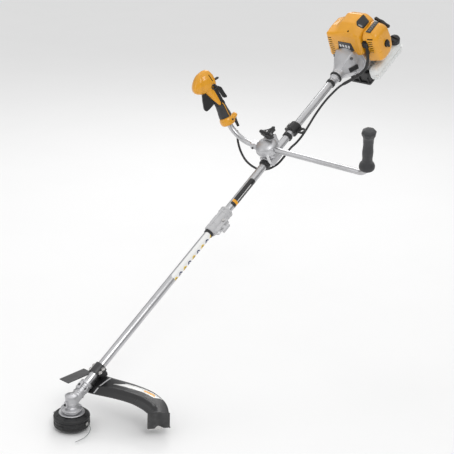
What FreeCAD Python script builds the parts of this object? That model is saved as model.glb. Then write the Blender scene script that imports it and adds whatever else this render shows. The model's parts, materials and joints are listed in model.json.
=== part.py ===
"""Petrol string trimmer with a split shaft, a bull-horn handlebar, a guard and a bump-feed line head.

Row frame: millimetres, +Z up along the head's spindle, origin at the middle of the bump knob's flat
bottom.  The shaft rises towards +X at shaft_slope, the throttle grip is on +Y.  Most pieces are drawn
in the shaft frame (x along the tube away from the head, y sideways, z square to the tube) and placed
from there by one of the frames below.
"""
import FreeCAD
import Part
import math
import os
import re

import Sketcher
from FreeCAD import Vector

doc = FreeCAD.newDocument("string_trimmer")
sheet = doc.addObject("Spreadsheet::Sheet", "Sizes")

SIZES = {
    # whole machine
    "shaft_slope": 32.66,          # degrees between the tube and the ground
    "gear_height": 82,             # where the tube's axis meets the spindle's
    "running_gap": 0.05,           # radial clearance of shafts that turn
    "rest_gap": 0.3,               # between pieces that only lie against each other
    # tubes and drive shaft
    "tube_radius": 13,
    "tube_wall": 1.5,
    "lower_tube_start": 38,
    "drive_radius": 4,
    "socket_radius": 8,
    "split_station": 752,          # where the tube comes apart, from the spindle
    "handle_station": 1053,
    "harness_station": 1190,
    "engine_station": 1545,        # front face of the engine's cover
    "guard_station": 125,
    # coupler
    "coupler_half": 50,
    "coupler_radius": 20,
    # handlebar
    "bar_radius": 9.5,
    "bar_wall": 1.5,
    "bar_height": 42,
    "bar_lean": 14,
    "cap_rise": 28,                # dome and clamp ear above the bar's axis
    "left_reach": 366,
    "left_bend": 36,
    "left_angle": 78,
    "right_reach": 60,
    "right_bend": 100,
    "right_angle": 72,
    "throttle_turn": 25,           # the trigger faces forwards and a little outwards
    "grip_length": 136,
    "grip_radius": 16,
    # head
    "head_radius": 54,
    "head_height": 49,
    "knob_radius": 33,
    "spindle_radius": 5,
    "line_radius": 1.2,
    # bevel gears
    "pinion_teeth": 15,
    "output_teeth": 19,
    "cone_distance": 12,
    "tooth_length": 4,
    # engine
    "housing_radius": 60,
    "drum_radius": 39,
    "flywheel_radius": 52,
    "crank_radius": 5,
    "cylinder_station": 61,        # cylinder axis behind the engine's front face
    "piston_radius": 17,
    "stroke": 30,
    "shell_wall": 2.5,
    "cap_radius": 18,
    # harness eye
    "eye_radius": 6,
    "eye_thickness": 6,
    "eye_offset": 35,
}
for row, (alias, value) in enumerate(SIZES.items(), 1):
    sheet.set(f"A{row}", alias)
    sheet.set(f"B{row}", str(value))
    sheet.setAlias(f"B{row}", alias)
doc.recompute()


# ---------------------------------------------------------------- formulas, frames and pieces

def formula(text):
    """Spreadsheet names in a formula, in the form that setExpression reads."""
    return re.sub(r"[a-z][a-z_]*", lambda m: "Sizes." + m[0] if m[0] in SIZES else m[0], str(text))


def size(text):
    """The present value of a formula, in millimetres or degrees."""
    return float(doc.Sizes.evalExpression(formula(text)))


def placement(x="0", y="0", z="0", axis=(0, 1, 0), turn="0"):
    """A placement as an expression: a shift, then a turn about an axis."""
    return (f"create(<<placement>>; create(<<vector>>; {formula(x)}; {formula(y)}; {formula(z)}); "
            f"create(<<rotation>>; create(<<vector>>; {axis[0]}; {axis[1]}; {axis[2]}); {formula(turn)}))")


HEAD = placement()
SHAFT = placement(z="gear_height", turn="-shaft_slope")
COUPLER = SHAFT + " * " + placement("split_station")
HANDLE = SHAFT + " * " + placement("handle_station")
HARNESS = SHAFT + " * " + placement("harness_station")
ENGINE = SHAFT + " * " + placement("engine_station")
BAR = HANDLE + " * " + placement(z="bar_height", turn="bar_lean")
LEFT_GRIP = BAR + " * " + placement(
    y="-left_reach - left_bend * sin(left_angle * 1deg)", z="left_bend * (1 - cos(left_angle * 1deg))",
    axis=(1, 0, 0), turn="90 - left_angle")
THROTTLE = BAR + " * " + placement(
    y="right_reach + right_bend * sin(right_angle * 1deg)", z="right_bend * (1 - cos(right_angle * 1deg))",
    axis=(1, 0, 0), turn="right_angle - 90") + " * " + placement(axis=(0, 0, 1), turn="-throttle_turn")

pieces = []


def piece(label, shape, frame):
    """Name a finished sub-part and put it in its frame."""
    shape.Label = label
    shape.setExpression("Placement", frame)
    pieces.append(shape)
    return shape


def place(shape, **where):
    shape.setExpression("Placement", placement(**where))
    return shape


def block(x, y, z, rounding=None):
    """A box between pairs of formulas, with every edge rounded where a radius is given."""
    box = doc.addObject("Part::Box", "Block")
    for prop, (low, high) in (("Length", x), ("Width", y), ("Height", z)):
        box.setExpression(prop, f"({formula(high)}) - ({formula(low)})")
    place(box, x=x[0], y=y[0], z=z[0])
    if rounding is None:
        return box
    doc.recompute()
    rounded = doc.addObject("Part::Fillet", "Rounded")
    rounded.Base = box
    rounded.Edges = [(edge, rounding, rounding) for edge in range(1, 13)]
    return rounded


TURNS = {"x": ((0, 1, 0), "90"), "y": ((1, 0, 0), "-90"), "z": ((0, 0, 1), "0")}


def rod(along, start, end, radius, at=("0", "0"), end_radius=None):
    """A cylinder, or a cone where end_radius is given, along x, y or z, at two other coordinates."""
    kind = "Part::Cylinder" if end_radius is None else "Part::Cone"
    solid = doc.addObject(kind, "Rod")
    if end_radius is None:
        solid.setExpression("Radius", formula(radius))
    else:
        solid.setExpression("Radius1", formula(radius))
        solid.setExpression("Radius2", formula(end_radius))
    solid.setExpression("Height", f"({formula(end)}) - ({formula(start)})")
    axis, turn = TURNS[along]
    first, second = at
    where = {"x": (start, first, second), "y": (first, start, second), "z": (first, second, start)}[along]
    place(solid, x=where[0], y=where[1], z=where[2], axis=axis, turn=turn)
    return solid


def ball(radius, x="0", y="0", z="0"):
    solid = doc.addObject("Part::Sphere", "Ball")
    solid.setExpression("Radius", formula(radius))
    return place(solid, x=x, y=y, z=z)


def fuse(*shapes):
    joined = doc.addObject("Part::MultiFuse", "Joined")
    joined.Shapes = list(shapes)
    joined.Refine = True
    return joined


def cut(base, *tools):
    """The base with each tool taken away in turn."""
    for tool in tools:
        trimmed = doc.addObject("Part::Cut", "Trimmed")
        trimmed.Base = base
        trimmed.Tool = tool
        trimmed.Refine = True
        base = trimmed
    return base


def group(*shapes):
    """Separate solids that share one node."""
    together = doc.addObject("Part::Compound", "Group")
    together.Links = list(shapes)
    return together


def tilted(shape, **where):
    """A shape turned on its own inside its piece."""
    holder = doc.addObject("Part::Compound", "Tilted")
    holder.Links = [shape]
    return place(holder, **where)


def sketch_on(body, role, points):
    """A closed outline of straight sides; every corner is held to its two formulas."""
    sketch = body.newObject("Sketcher::SketchObject", "Outline")
    plane = next(item for item in body.Origin.OriginFeatures if item.Role == role)
    sketch.AttachmentSupport = [(plane, "")]
    sketch.MapMode = "FlatFace"
    values = [(size(across), size(up)) for across, up in points]
    count = len(points)
    for index in range(count):
        start = Vector(*values[index], 0)
        end = Vector(*values[(index + 1) % count], 0)
        sketch.addGeometry(Part.LineSegment(start, end), False)
    for index in range(count):
        sketch.addConstraint(Sketcher.Constraint("Coincident", index, 2, (index + 1) % count, 1))
    for index, corner in enumerate(points):
        for kind, text, value in zip(("DistanceX", "DistanceY"), corner, values[index]):
            number = sketch.addConstraint(Sketcher.Constraint(kind, -1, 1, index, 1, value))
            sketch.setExpression(f"Constraints[{number}]", formula(text))
    return sketch


def turned(label, frame, along, outline):
    """A piece turned about x or z; the outline is (distance along the axis, radius) pairs."""
    body = doc.addObject("PartDesign::Body", label)
    points = outline if along == "x" else [(radius, height) for height, radius in outline]
    sketch = sketch_on(body, "XZ_Plane", points)
    lathe = body.newObject("PartDesign::Revolution", "Turning")
    lathe.Profile = sketch
    lathe.ReferenceAxis = (sketch, ["H_Axis" if along == "x" else "V_Axis"])
    lathe.Angle = 360
    body.Tip = lathe
    return piece(label, body, frame)


def turned_shape(along, outline):
    """The same turning, as one of the shapes that a piece is fused or cut from."""
    shape = turned("Turned", HEAD, along, outline)
    pieces.remove(shape)
    return shape


def slab(role, points, thickness, start="0"):
    """A flat plate: an outline on one of the body's planes, padded from start."""
    body = doc.addObject("PartDesign::Body", "Slab")
    sketch = sketch_on(body, role, points)
    pad = body.newObject("PartDesign::Pad", "Thickness")
    pad.Profile = sketch
    pad.setExpression("Length", formula(thickness))
    body.Tip = pad
    shift = {"XY_Plane": "z", "XZ_Plane": "y", "YZ_Plane": "x"}[role]
    return place(body, **{shift: start})


def feature(label, shape, frame):
    """A piece whose shape is worked out with Part's own functions."""
    solid = doc.addObject("Part::Feature", label)
    solid.Shape = shape
    return piece(label, solid, frame)


def rounded_path(points, say=None):
    """Straight runs joined by tangent arcs; each radius is 0.45 of the shorter run over tan(half turn)."""
    points = [Vector(*point) for point in points]
    edges = []
    last = points[0]
    radii = []
    for before, corner, after in zip(points, points[1:], points[2:]):
        back = (before - corner).normalize()
        ahead = (after - corner).normalize()
        half_turn = (math.pi - back.getAngle(ahead)) / 2
        reach = 0.45 * min((before - corner).Length, (after - corner).Length)
        radius = reach / math.tan(half_turn)
        radii.append(radius)
        start = corner + back * reach
        end = corner + ahead * reach
        middle_way = (back + ahead).normalize()
        middle = corner + middle_way * (radius / math.cos(half_turn) - radius)
        if (start - last).Length > 1e-6:
            edges.append(Part.LineSegment(last, start).toShape())
        edges.append(Part.Arc(start, middle, end).toShape())
        last = end
    edges.append(Part.LineSegment(last, points[-1]).toShape())
    if say:
        print(say, "arc radii", [round(radius, 1) for radius in radii])
    return Part.Wire(edges)


def tube_along(path, radius, bore=0.0, say=None):
    """A round tube swept along a path of runs and arcs."""
    first = path.Edges[0]
    heading = first.tangentAt(first.FirstParameter)
    start = first.valueAt(first.FirstParameter)

    def sweep(size_of_ring):
        ring = Part.Wire([Part.makeCircle(size_of_ring, start, heading)])
        return path.makePipeShell([ring], True, False)

    solid = sweep(radius)
    if bore:
        solid = solid.cut(sweep(bore))
    if say:
        expected = math.pi * (radius ** 2 - bore ** 2) * path.Length
        print(say, "length", round(path.Length, 1), "volume over section times length",
              round(solid.Volume / expected, 4))
    return solid


# ---------------------------------------------------------------- head and gear case

def bevel_gear(teeth, cone_angle, hub_length, bore):
    """A bevel gear about +Z with its apex at the origin: a blank cone and narrow straight teeth."""
    outer = size("cone_distance")
    inner = outer - size("tooth_length")
    root_drop = math.radians(6)
    tip_rise = math.radians(4.5)

    def on_cone(distance, angle):
        return Vector(distance * math.sin(angle), 0, distance * math.cos(angle))

    root = cone_angle - root_drop
    near, far = on_cone(inner, root), on_cone(outer, root)
    back = far.z + hub_length
    profile = [Vector(bore, 0, near.z), near, far, Vector(far.x, 0, far.z + 1),
               Vector(bore + 3, 0, far.z + 2),
               Vector(bore + 3, 0, back), Vector(bore, 0, back)]
    blank = Part.Face(Part.makePolygon(profile + profile[:1])).revolve(Vector(), Vector(0, 0, 1), 360)
    half_width = 0.17 * 2 * math.pi * math.sin(cone_angle) / teeth

    def section(distance):
        low, high = on_cone(distance, root - 0.03), on_cone(distance, cone_angle + tip_rise)
        side = Vector(0, distance * half_width, 0)
        return Part.makePolygon([low - side * 1.3, high - side, high + side, low + side * 1.3,
                                 low - side * 1.3])

    tooth = Part.makeLoft([section(inner), section(outer)], True, True)
    copies = [tooth.rotated(Vector(), Vector(0, 0, 1), 360 / teeth * index) for index in range(teeth)]
    return blank.multiFuse(copies).removeSplitter()


def gear_angles():
    """Half angles of the two pitch cones whose axes meet at the shaft's angle to the spindle."""
    between = math.radians(90 + size("shaft_slope"))
    ratio = size("output_teeth / pinion_teeth")
    pinion = math.atan(math.sin(between) / (ratio + math.cos(between)))
    return pinion, between - pinion


def head_pieces():
    pinion_angle, output_angle = gear_angles()
    drive = size("drive_radius")
    spindle = size("spindle_radius")
    pinion = bevel_gear(int(size("pinion_teeth")), pinion_angle, 9.0, drive)
    feature("pinion_gear", pinion, SHAFT + " * " + placement(turn="90") + " * "
            + placement(axis=(0, 0, 1), turn="180 / pinion_teeth"))
    output = bevel_gear(int(size("output_teeth")), output_angle, 2.2, spindle)
    feature("output_gear", output, placement(z="gear_height", axis=(1, 0, 0), turn="180"))

    case = cut(
        fuse(
            turned_shape("z", [("head_height + 11", "0"), ("head_height + 11", "30"),
                               ("head_height + 17", "30"),
                               ("head_height + 19", "20"), ("gear_height - 8", "18"),
                               ("gear_height + 20", "18"),
                               ("gear_height + 25", "14"), ("gear_height + 27", "6"),
                               ("gear_height + 27", "0")]),
            tilted(rod("x", "0", "lower_tube_start + 36", "tube_radius + 4"), z="gear_height",
                   turn="-shaft_slope"),
            tilted(rod("x", "lower_tube_start + 30", "lower_tube_start + 36", "tube_radius + 6"),
                   z="gear_height", turn="-shaft_slope"),
            block(("-24", "0"), ("-6", "6"), ("gear_height - 10", "gear_height + 8"), 2)),
        ball("cone_distance + 2.6", z="gear_height"),
        rod("z", "head_height", "gear_height", "10"),
        tilted(rod("x", "0", "lower_tube_start", "11"), z="gear_height", turn="-shaft_slope"),
        tilted(rod("x", "lower_tube_start", "lower_tube_start + 40", "tube_radius + running_gap"),
               z="gear_height", turn="-shaft_slope"))
    piece("gear_case", case, HEAD)

    def ring(along, start, length, outer, inner):
        end = f"({start}) + {length}"
        return cut(rod(along, start, end, outer), rod(along, start, end, inner))

    piece("gear_bearings", group(
        ring("z", "head_height + 11.3", "7", "10 - running_gap", "spindle_radius + running_gap"),
        tilted(ring("x", "22", "12", "11 - running_gap", "drive_radius + running_gap"),
               z="gear_height", turn="-shaft_slope")), HEAD)
    turned("output_shaft", HEAD, "z", [
        ("head_height - 19", "0"), ("gear_height - 5", "0"), ("gear_height - 5", "spindle_radius"),
        ("head_height - 19", "spindle_radius")])
    turned("blade_flange", HEAD, "z", [
        ("head_height + rest_gap", "spindle_radius + running_gap"), ("head_height + rest_gap", "36"),
        ("head_height + 3", "36"), ("head_height + 4.5", "34"), ("head_height + 4.5", "25"),
        ("head_height + 10.5", "25"), ("head_height + 10.5", "spindle_radius + running_gap")])


def line_head_pieces():
    top = "head_height"
    radius = "head_radius"
    housing = turned_shape("z", [
        ("22", f"{radius} - 3.5"), (f"{top} - 3.5", f"{radius} - 3.5"), (f"{top} - 3.5", "12"),
        (f"{top} - 9", "12"), (f"{top} - 9", "spindle_radius + running_gap"),
        (top, "spindle_radius + running_gap"),
        (top, "30"), (f"{top} - 2", f"{radius} - 6"), (f"{top} - 8", f"{radius}"), ("36", radius),
        ("34.5", f"{radius} - 1.5"), ("33", radius), ("22", radius)])
    holes = [rod("x", f"{radius} - 8", f"{radius} + 8", "4", ("0", "27"))]
    holes.append(rod("x", f"-{radius} - 8", f"8 - {radius}", "4", ("0", "27")))
    piece("spool_housing", cut(housing, *holes), HEAD + " * " + placement(axis=(0, 0, 1), turn="-78"))
    turned("head_cover", HEAD, "z", [
        ("9", "knob_radius + 1.5"), ("9", f"{radius} - 5"), ("13", f"{radius} - 1"),
        ("21.7", f"{radius} - 1"),
        ("21.7", f"{radius} - 4"), ("12", f"{radius} - 4"), ("12", "knob_radius + 1.5")])
    turned("line_spool", HEAD, "z", [
        ("0", "0"), ("0", "knob_radius - 8"), ("2.5", "knob_radius - 2"), ("8", "knob_radius"),
        ("12.3", "knob_radius"), ("12.3", "knob_radius + 12"), ("15", "knob_radius + 12"), ("15", "22"),
        ("36", "22"), ("36", "knob_radius + 12"), ("38.5", "knob_radius + 12"), ("38.5", "16"),
        ("20", "16"),
        ("20", "0")])
    turned("wound_line", HEAD, "z", [
        ("15.3", "22.3"), ("35.7", "22.3"), ("35.7", "38"), ("33", "40"), ("18", "40"), ("15.3", "38")])
    turned("bump_spring", HEAD, "z", [
        ("20.3", "12.5"), ("20.3", "15"), ("24", "14"), ("28", "15"), ("32", "14"), ("36", "15"),
        ("45.2", "15"), ("45.2", "12.5")])
    eyelet = turned_shape("x", [
        (f"{radius} - 4.5", "1.6"), (f"{radius} - 4.5", "3.7"), (radius, "3.7"), (f"{radius} + 0.2", "5.5"),
        (f"{radius} + 2", "5"), (f"{radius} + 2", "2.2"), (radius, "1.6")])
    other = turned_shape("x", [
        (f"4.5 - {radius}", "1.6"), (f"4.5 - {radius}", "3.7"), (f"-{radius}", "3.7"),
        (f"-{radius} - 0.2", "5.5"),
        (f"-{radius} - 2", "5"), (f"-{radius} - 2", "2.2"), (f"-{radius}", "1.6")])
    turn_to_eyelets = HEAD + " * " + placement(z="27", axis=(0, 0, 1), turn="-78")
    piece("line_eyelets", group(place(eyelet), place(other)), turn_to_eyelets)

    # each end of the line leaves its eyelet and curls round the head as it did on the spool
    route = [(49, 0, 27), (62, -1, 26), (74, -9, 23), (80, -23, 18), (81, -40, 13), (76, -58, 9),
             (66, -74, 6)]
    for name, half_turn in (("cutting_line_front", 0), ("cutting_line_rear", 180)):
        path = rounded_path(route, say=name)
        line = tube_along(path, size("line_radius"), say=name)
        feature(name, line, HEAD + " * " + placement(axis=(0, 0, 1), turn=f"{half_turn} - 78"))


# ---------------------------------------------------------------- guard

def guard_pieces():
    # inner edge, outer edge and depth of the skirt, from the root round to the tip
    stations = [((60, 32, 95), (138, 44, 127), 8), ((60, -12, 95), (138, -12, 127), 12),
                ((84, -84, 96), (176, -88, 112), 26), ((106, -136, 90), (196, -146, 99), 36),
                ((112, -178, 84), (190, -200, 88), 44), ((110, -208, 78), (160, -246, 78), 48)]
    wall = size("shell_wall")

    def corners(inner, outer, depth, solid):
        low, high = Vector(*inner), Vector(*outer)
        step = Vector(high.x - low.x, high.y - low.y, 0).normalize() * wall
        up = Vector(0, 0, 1)
        if solid:
            return [low, high, high - up * depth, low - up * depth]
        return [low, high, high - up * depth, high - up * depth - step, high - up * wall - step,
                low - up * wall]

    def loft(rows, solid=False):
        wires = []
        for row in rows:
            points = corners(*row, solid)
            wires.append(Part.makePolygon(points + points[:1]))
        return Part.makeLoft(wires, True, True)

    inner, outer, depth = stations[-1]
    back_step = Vector(-2, 2.6, 0)
    back, back_outer = Vector(*inner) + back_step, Vector(*outer) + back_step
    skin = loft(stations)
    end_wall = loft([(back, back_outer, depth), (inner, outer, depth)], solid=True)
    feature("guard", skin.fuse(end_wall).removeSplitter(), HEAD)

    # the line cutter is screwed to the inside of the end wall, and its edge stands out below
    knife = slab("XZ_Plane", [("0", "0"), ("42", "0"), ("42", "16"), ("6", "22"), ("0", "14")], "1.2")
    heading = math.degrees(math.atan2(outer[1] - inner[1], outer[0] - inner[0]))
    piece("line_cutter", group(knife), HEAD + " * " + placement(
        str(back.x + 3), str(back.y + 0.3), str(inner[2] - depth - 4), axis=(0, 0, 1), turn=str(heading)))

    strap = tilted(cut(
        fuse(rod("x", "guard_station - 17", "guard_station + 17", "tube_radius + 5"),
             block(("guard_station - 15", "guard_station + 15"), ("-24", "24"), ("-5", "5"), 2),
             block(("guard_station - 8", "guard_station + 16"), ("-11", "11"), ("-31", "0"))),
        rod("x", "guard_station - 20", "guard_station + 20", "tube_radius + running_gap")),
        z="gear_height", turn="-shaft_slope")
    root_inner, root_outer = stations[1][0], stations[1][1]
    root_slope = math.degrees(math.atan2(root_outer[2] - root_inner[2], root_outer[0] - root_inner[0]))
    foot = tilted(block(("42", "82"), ("-11", "29"), ("rest_gap", "4")),
                  x=str(root_inner[0]), z=str(root_inner[2]), turn=str(-root_slope))
    side_plate = block(("8", "104"), ("22", "60"), ("132", "134.5"))
    side_arm = block(("100", "110"), ("20", "28"), ("115", "134"))
    clear = tilted(rod("x", "60", "220", "tube_radius + running_gap"), z="gear_height", turn="-shaft_slope")
    piece("guard_bracket", cut(fuse(strap, foot, side_plate, side_arm), clear), HEAD)


# ---------------------------------------------------------------- tubes, drive shafts and coupler

def shaft_pieces():
    def tube(label, start, end):
        turned(label, SHAFT, "x", [(start, "tube_radius - tube_wall"), (start, "tube_radius"),
                                   (end, "tube_radius"), (end, "tube_radius - tube_wall")])

    tube("lower_tube", "lower_tube_start + rest_gap", "split_station - 0.5")
    tube("upper_tube", "split_station + 0.5", "engine_station - 45")
    turned("lower_drive_shaft", SHAFT, "x", [
        ("10", "0"), ("split_station", "0"), ("split_station", "drive_radius"), ("10", "drive_radius")])
    turned("upper_drive_shaft", SHAFT, "x", [
        ("split_station + 6", "0"), ("engine_station - 26", "0"), ("engine_station - 26", "drive_radius"),
        ("split_station + 16", "drive_radius"), ("split_station + 14", "socket_radius"),
        ("split_station - 40", "socket_radius"), ("split_station - 40", "drive_radius + running_gap"),
        ("split_station + 6", "drive_radius + running_gap")])

    half = "coupler_half"
    clamp = cut(
        fuse(rod("x", f"-{half}", half, "coupler_radius"),
             rod("x", f"{half} - 10", f"{half} - 4", "coupler_radius + 2"),
             rod("x", f"{half} - 22", f"{half} - 16", "coupler_radius + 2"),
             block((f"6 - {half}", "14"), ("-coupler_radius - 12", "0"), ("-9", "9"), 3),
             rod("y", "-coupler_radius - 7", "0", "9", (f"10 - {half}", "0"))),
        rod("x", f"-{half} - 1", f"{half} + 1", "tube_radius + running_gap"),
        rod("y", "-coupler_radius - 20", "-14", "5.2", (f"10 - {half}", "0")),
        rod("y", "-20", "0", "3.8", (f"10 - {half}", "0")),
        rod("y", "-coupler_radius - 20", "-16", "3 + running_gap", ("-16", "0")))
    piece("coupler_body", clamp, COUPLER)
    face = "-coupler_radius - 12.3"
    knob = fuse(rod("y", f"{face} - 8", face, "7", ("-16", "0")),
                rod("y", f"{face} - 14", f"{face} - 6", "5", ("-16", "0")),
                block(("-32", "0"), (f"{face} - 16", f"{face} - 8"), ("-5", "5"), 2.5),
                rod("y", face, "-16.5", "3", ("-16", "0")))
    piece("coupler_knob", knob, COUPLER)
    button = fuse(rod("y", "-coupler_radius - 13", "-14.5", "4.9", (f"10 - {half}", "0")),
                  rod("y", "-tube_radius - 1.5", "-tube_radius - rest_gap", "3.5", (f"10 - {half}", "0")))
    piece("coupler_button", button, COUPLER)

    eye = cut(
        fuse(rod("x", "-18", "18", "coupler_radius"),
             block(("-13", "13"), ("-eye_offset - eye_radius - 4", "-12"),
                   ("-eye_thickness / 2", "eye_thickness / 2")),
             block(("-16", "16"), ("12", "27"), ("-8", "8"), 2)),
        rod("x", "-20", "20", "tube_radius + running_gap"),
        rod("z", "-10", "10", "eye_radius", ("0", "-eye_offset")))
    piece("harness_clamp", eye, HARNESS)

    def band(start, width, outer):
        end = f"({start}) + {width}"
        return cut(rod("x", start, end, outer), rod("x", start, end, "tube_radius + running_gap"))

    piece("tube_bands", group(
        band("split_station - coupler_half - 9", "8", "tube_radius + 2.5"),
        band("handle_station - 46", "10", "tube_radius + 3"),
        band("harness_station - 44", "12", "tube_radius + 3.5"),
        band("engine_station - 132", "14", "tube_radius + 4"),
        band("engine_station - 94", "6", "tube_radius + 8")), SHAFT)


# ---------------------------------------------------------------- handlebar and grips

def handle_pieces():
    base = cut(
        fuse(rod("x", "-30", "30", "tube_radius + 6"), rod("z", "0", "bar_height - bar_radius - 1", "28"),
             block(("-26", "26"), ("-26", "26"), ("-12", "12"), 3)),
        rod("x", "-40", "40", "tube_radius + running_gap"))
    piece("handle_bracket", base, HANDLE)
    low = "bar_height - bar_radius - 1 + rest_gap"
    cap = cut(
        fuse(turned_shape("z", [(low, "0"), (low, "34"), ("bar_height + 12", "36"),
                                ("bar_height + 20", "32"),
                                ("bar_height + 26", "20"), ("bar_height + 28", "0")]),
             block(("-15", "15"), ("-34", "right_reach - 1"), ("bar_height - 9", "bar_height + 11"), 4),
             block(("12", "44"), ("-16", "16"), (low, "bar_height + cap_rise"), 4)),
        rod("y", "-60", "right_reach + 4", "bar_radius", ("0", "bar_height")))
    piece("handle_cap", cap, HANDLE)
    knob_base = "bar_height + cap_rise + rest_gap"
    wing = slab("XY_Plane", [("-10", "-30"), ("2", "-14"), ("30", "-13"), ("31", "-5"), ("13", "5"),
                             ("3", "31"),
                             ("-6", "31"), ("-12", "6"), ("-26", "-17"), ("-20", "-26")], "12",
                             f"{knob_base} + 6")
    boss = rod("z", knob_base, f"{knob_base} + 24", "10")
    piece("clamp_knob", fuse(wing, boss), HANDLE + " * " + placement("27"))

    left = math.radians(size("left_angle"))
    right = math.radians(size("right_angle"))
    left_end, left_bend = size("left_reach"), size("left_bend")
    right_end, right_bend = size("right_reach"), size("right_bend")

    def bent(sign, reach, bend, angle, straight):
        """Corner and end of one arm: the tube turns by angle on a radius of bend, then runs straight."""
        corner = Vector(0, sign * (reach + bend * math.tan(angle / 2)), 0)
        length = bend * math.tan(angle / 2) + straight
        return corner, corner + Vector(0, sign * math.cos(angle), math.sin(angle)) * length

    left_corner, left_tip = bent(-1, left_end, left_bend, left, size("grip_length") - 14)
    right_corner, right_tip = bent(1, right_end, right_bend, right, 60)

    def arc_at(corner, before, after, radius):
        back, ahead = (before - corner).normalize(), (after - corner).normalize()
        half_turn = (math.pi - back.getAngle(ahead)) / 2
        reach = radius * math.tan(half_turn)
        middle = corner + (back + ahead).normalize() * (radius / math.cos(half_turn) - radius)
        return corner + back * reach, middle, corner + ahead * reach

    left_arc = arc_at(left_corner, left_tip, right_corner, left_bend)
    right_arc = arc_at(right_corner, left_corner, right_tip, right_bend)
    path = Part.Wire([
        Part.LineSegment(left_tip, left_arc[0]).toShape(), Part.Arc(*left_arc).toShape(),
        Part.LineSegment(left_arc[2], right_arc[0]).toShape(), Part.Arc(*right_arc).toShape(),
        Part.LineSegment(right_arc[2], right_tip).toShape()])
    bar_radius = size("bar_radius")
    feature("handlebar", tube_along(path, bar_radius, bar_radius - size("bar_wall"), "handlebar"), BAR)

    turned("left_grip", LEFT_GRIP, "z", [
        ("-8", "bar_radius + 1.3"), ("-8", "grip_radius + 7"), ("0", "grip_radius + 9"),
        ("10", "grip_radius + 6"),
        ("18", "grip_radius + 1"), ("30", "grip_radius - 1"), ("55", "grip_radius + 1"),
        ("grip_length - 40", "grip_radius - 1"), ("grip_length - 24", "grip_radius + 1"),
        ("grip_length - 14", "grip_radius + 6"), ("grip_length - 6", "grip_radius + 7"),
        ("grip_length", "grip_radius + 3"), ("grip_length + 3", "8"), ("grip_length + 3", "0"),
        ("grip_length - 10", "0"), ("grip_length - 10", "bar_radius + running_gap"),
        ("2", "bar_radius + running_gap")])

    neck = turned_shape("z", [
        ("60.3", "0"), ("60.3", "15"), ("80", "17"), ("100", "20"), ("124", "22"), ("150", "22"),
        ("150", "0")])
    hood = block(("-60", "21"), ("-24", "24"), ("121", "187"), 20)
    core = turned_shape("z", [
        ("-13", "bar_radius + running_gap"), ("-13", "20"), ("-9", "25"), ("10", "25"), ("15", "21"),
        ("15", "12.5"), ("61", "12.5"), ("61", "0"), ("60.3", "0"), ("60.3", "bar_radius + running_gap")])
    lump = block(("8", "36"), ("-12", "12"), ("-7", "14.5"), 6)
    guide = rod("z", "-24", "-2", "4", ("26", "0"), end_radius="6")
    pins = [rod("y", "-14", "14", "2", ("-8", "110")), rod("y", "-14", "14", "2", ("12", "114"))]
    shell = cut(
        fuse(neck, hood, core, lump, guide),
        rod("z", "-14", "1", "bar_radius + 1.5", end_radius="bar_radius + running_gap"),
        rod("z", "-14", "60.3", "bar_radius + running_gap"),
        rod("z", "64", "176", "6"),
        block(("-64", "0"), ("-6", "6"), ("63", "119")),
        block(("4", "50"), ("-8", "8"), ("72", "122")),
        block(("4.5", "50"), ("-9", "9"), ("136.5", "154")),
        rod("y", "-60", "-9.5", "5.3", ("6", "128")))
    piece("throttle_housing", fuse(shell, *pins), THROTTLE)
    turned("grip_sleeve", THROTTLE, "z", [
        ("15.3", "12.5 + running_gap"), ("15.3", "20.5"), ("40", "17.5"), ("58.7", "17"),
        ("58.7", "12.5 + running_gap")])

    trigger = fuse(
        slab("XZ_Plane", [("-8", "117"), ("-42", "117"), ("-52", "96"), ("-58", "72"), ("-52", "66"),
                          ("-30", "66"), ("-20", "84"), ("-6", "100")], "10", "5"),
        rod("y", "-5", "5", "5", ("-8", "110")))
    piece("throttle_trigger", cut(trigger, rod("y", "-9", "9", "2 + running_gap", ("-8", "110"))), THROTTLE)
    lock = fuse(
        slab("XZ_Plane", [("9", "119"), ("20", "119"), ("31", "108"), ("30", "84"), ("22", "76"),
                          ("20", "84"),
                          ("21", "104"), ("9", "110")], "14", "7"),
        rod("y", "-7", "7", "4.5", ("12", "114")))
    piece("throttle_lock", cut(lock, rod("y", "-9", "9", "2 + running_gap", ("12", "114"))), THROTTLE)
    switch = fuse(block(("8", "27"), ("-8.6", "8.6"), ("141", "146.5")),
                  block(("24", "33"), ("-5", "5"), ("141", "146.5"), 1.5))
    piece("stop_switch", switch, THROTTLE)
    piece("start_button", group(rod("y", "-29", "-13", "5", ("6", "128"))), THROTTLE)


# ---------------------------------------------------------------- throttle cable

def throttle_cable():
    route = [(1086, 151, 50), (1075, 146, 38), (1056, 134, 26), (1034, 112, 12), (1018, 87, -6),
             (1012, 60, -21),
             (1014, 33, -31), (1030, 8, -36), (1055, -13, -32), (1086, -23, -24), (1122, -25, -20),
             (1160, -24, -27), (1200, -22, -29), (1244, -20, -24), (1296, -17, -19), (1352, -16, -17),
             (1402, -18, -19), (1434, -27, -17), (1464, -45, -16), (1494, -64, -13), (1518, -79, -4),
             (1531, -86, 13), (1545, -85, 31), (1557, -80, 45), (1561, -78, 57.2)]
    path = rounded_path(route, say="throttle_cable")
    feature("throttle_cable", tube_along(path, 3.2, say="throttle_cable"), SHAFT)


# ---------------------------------------------------------------- engine

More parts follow.
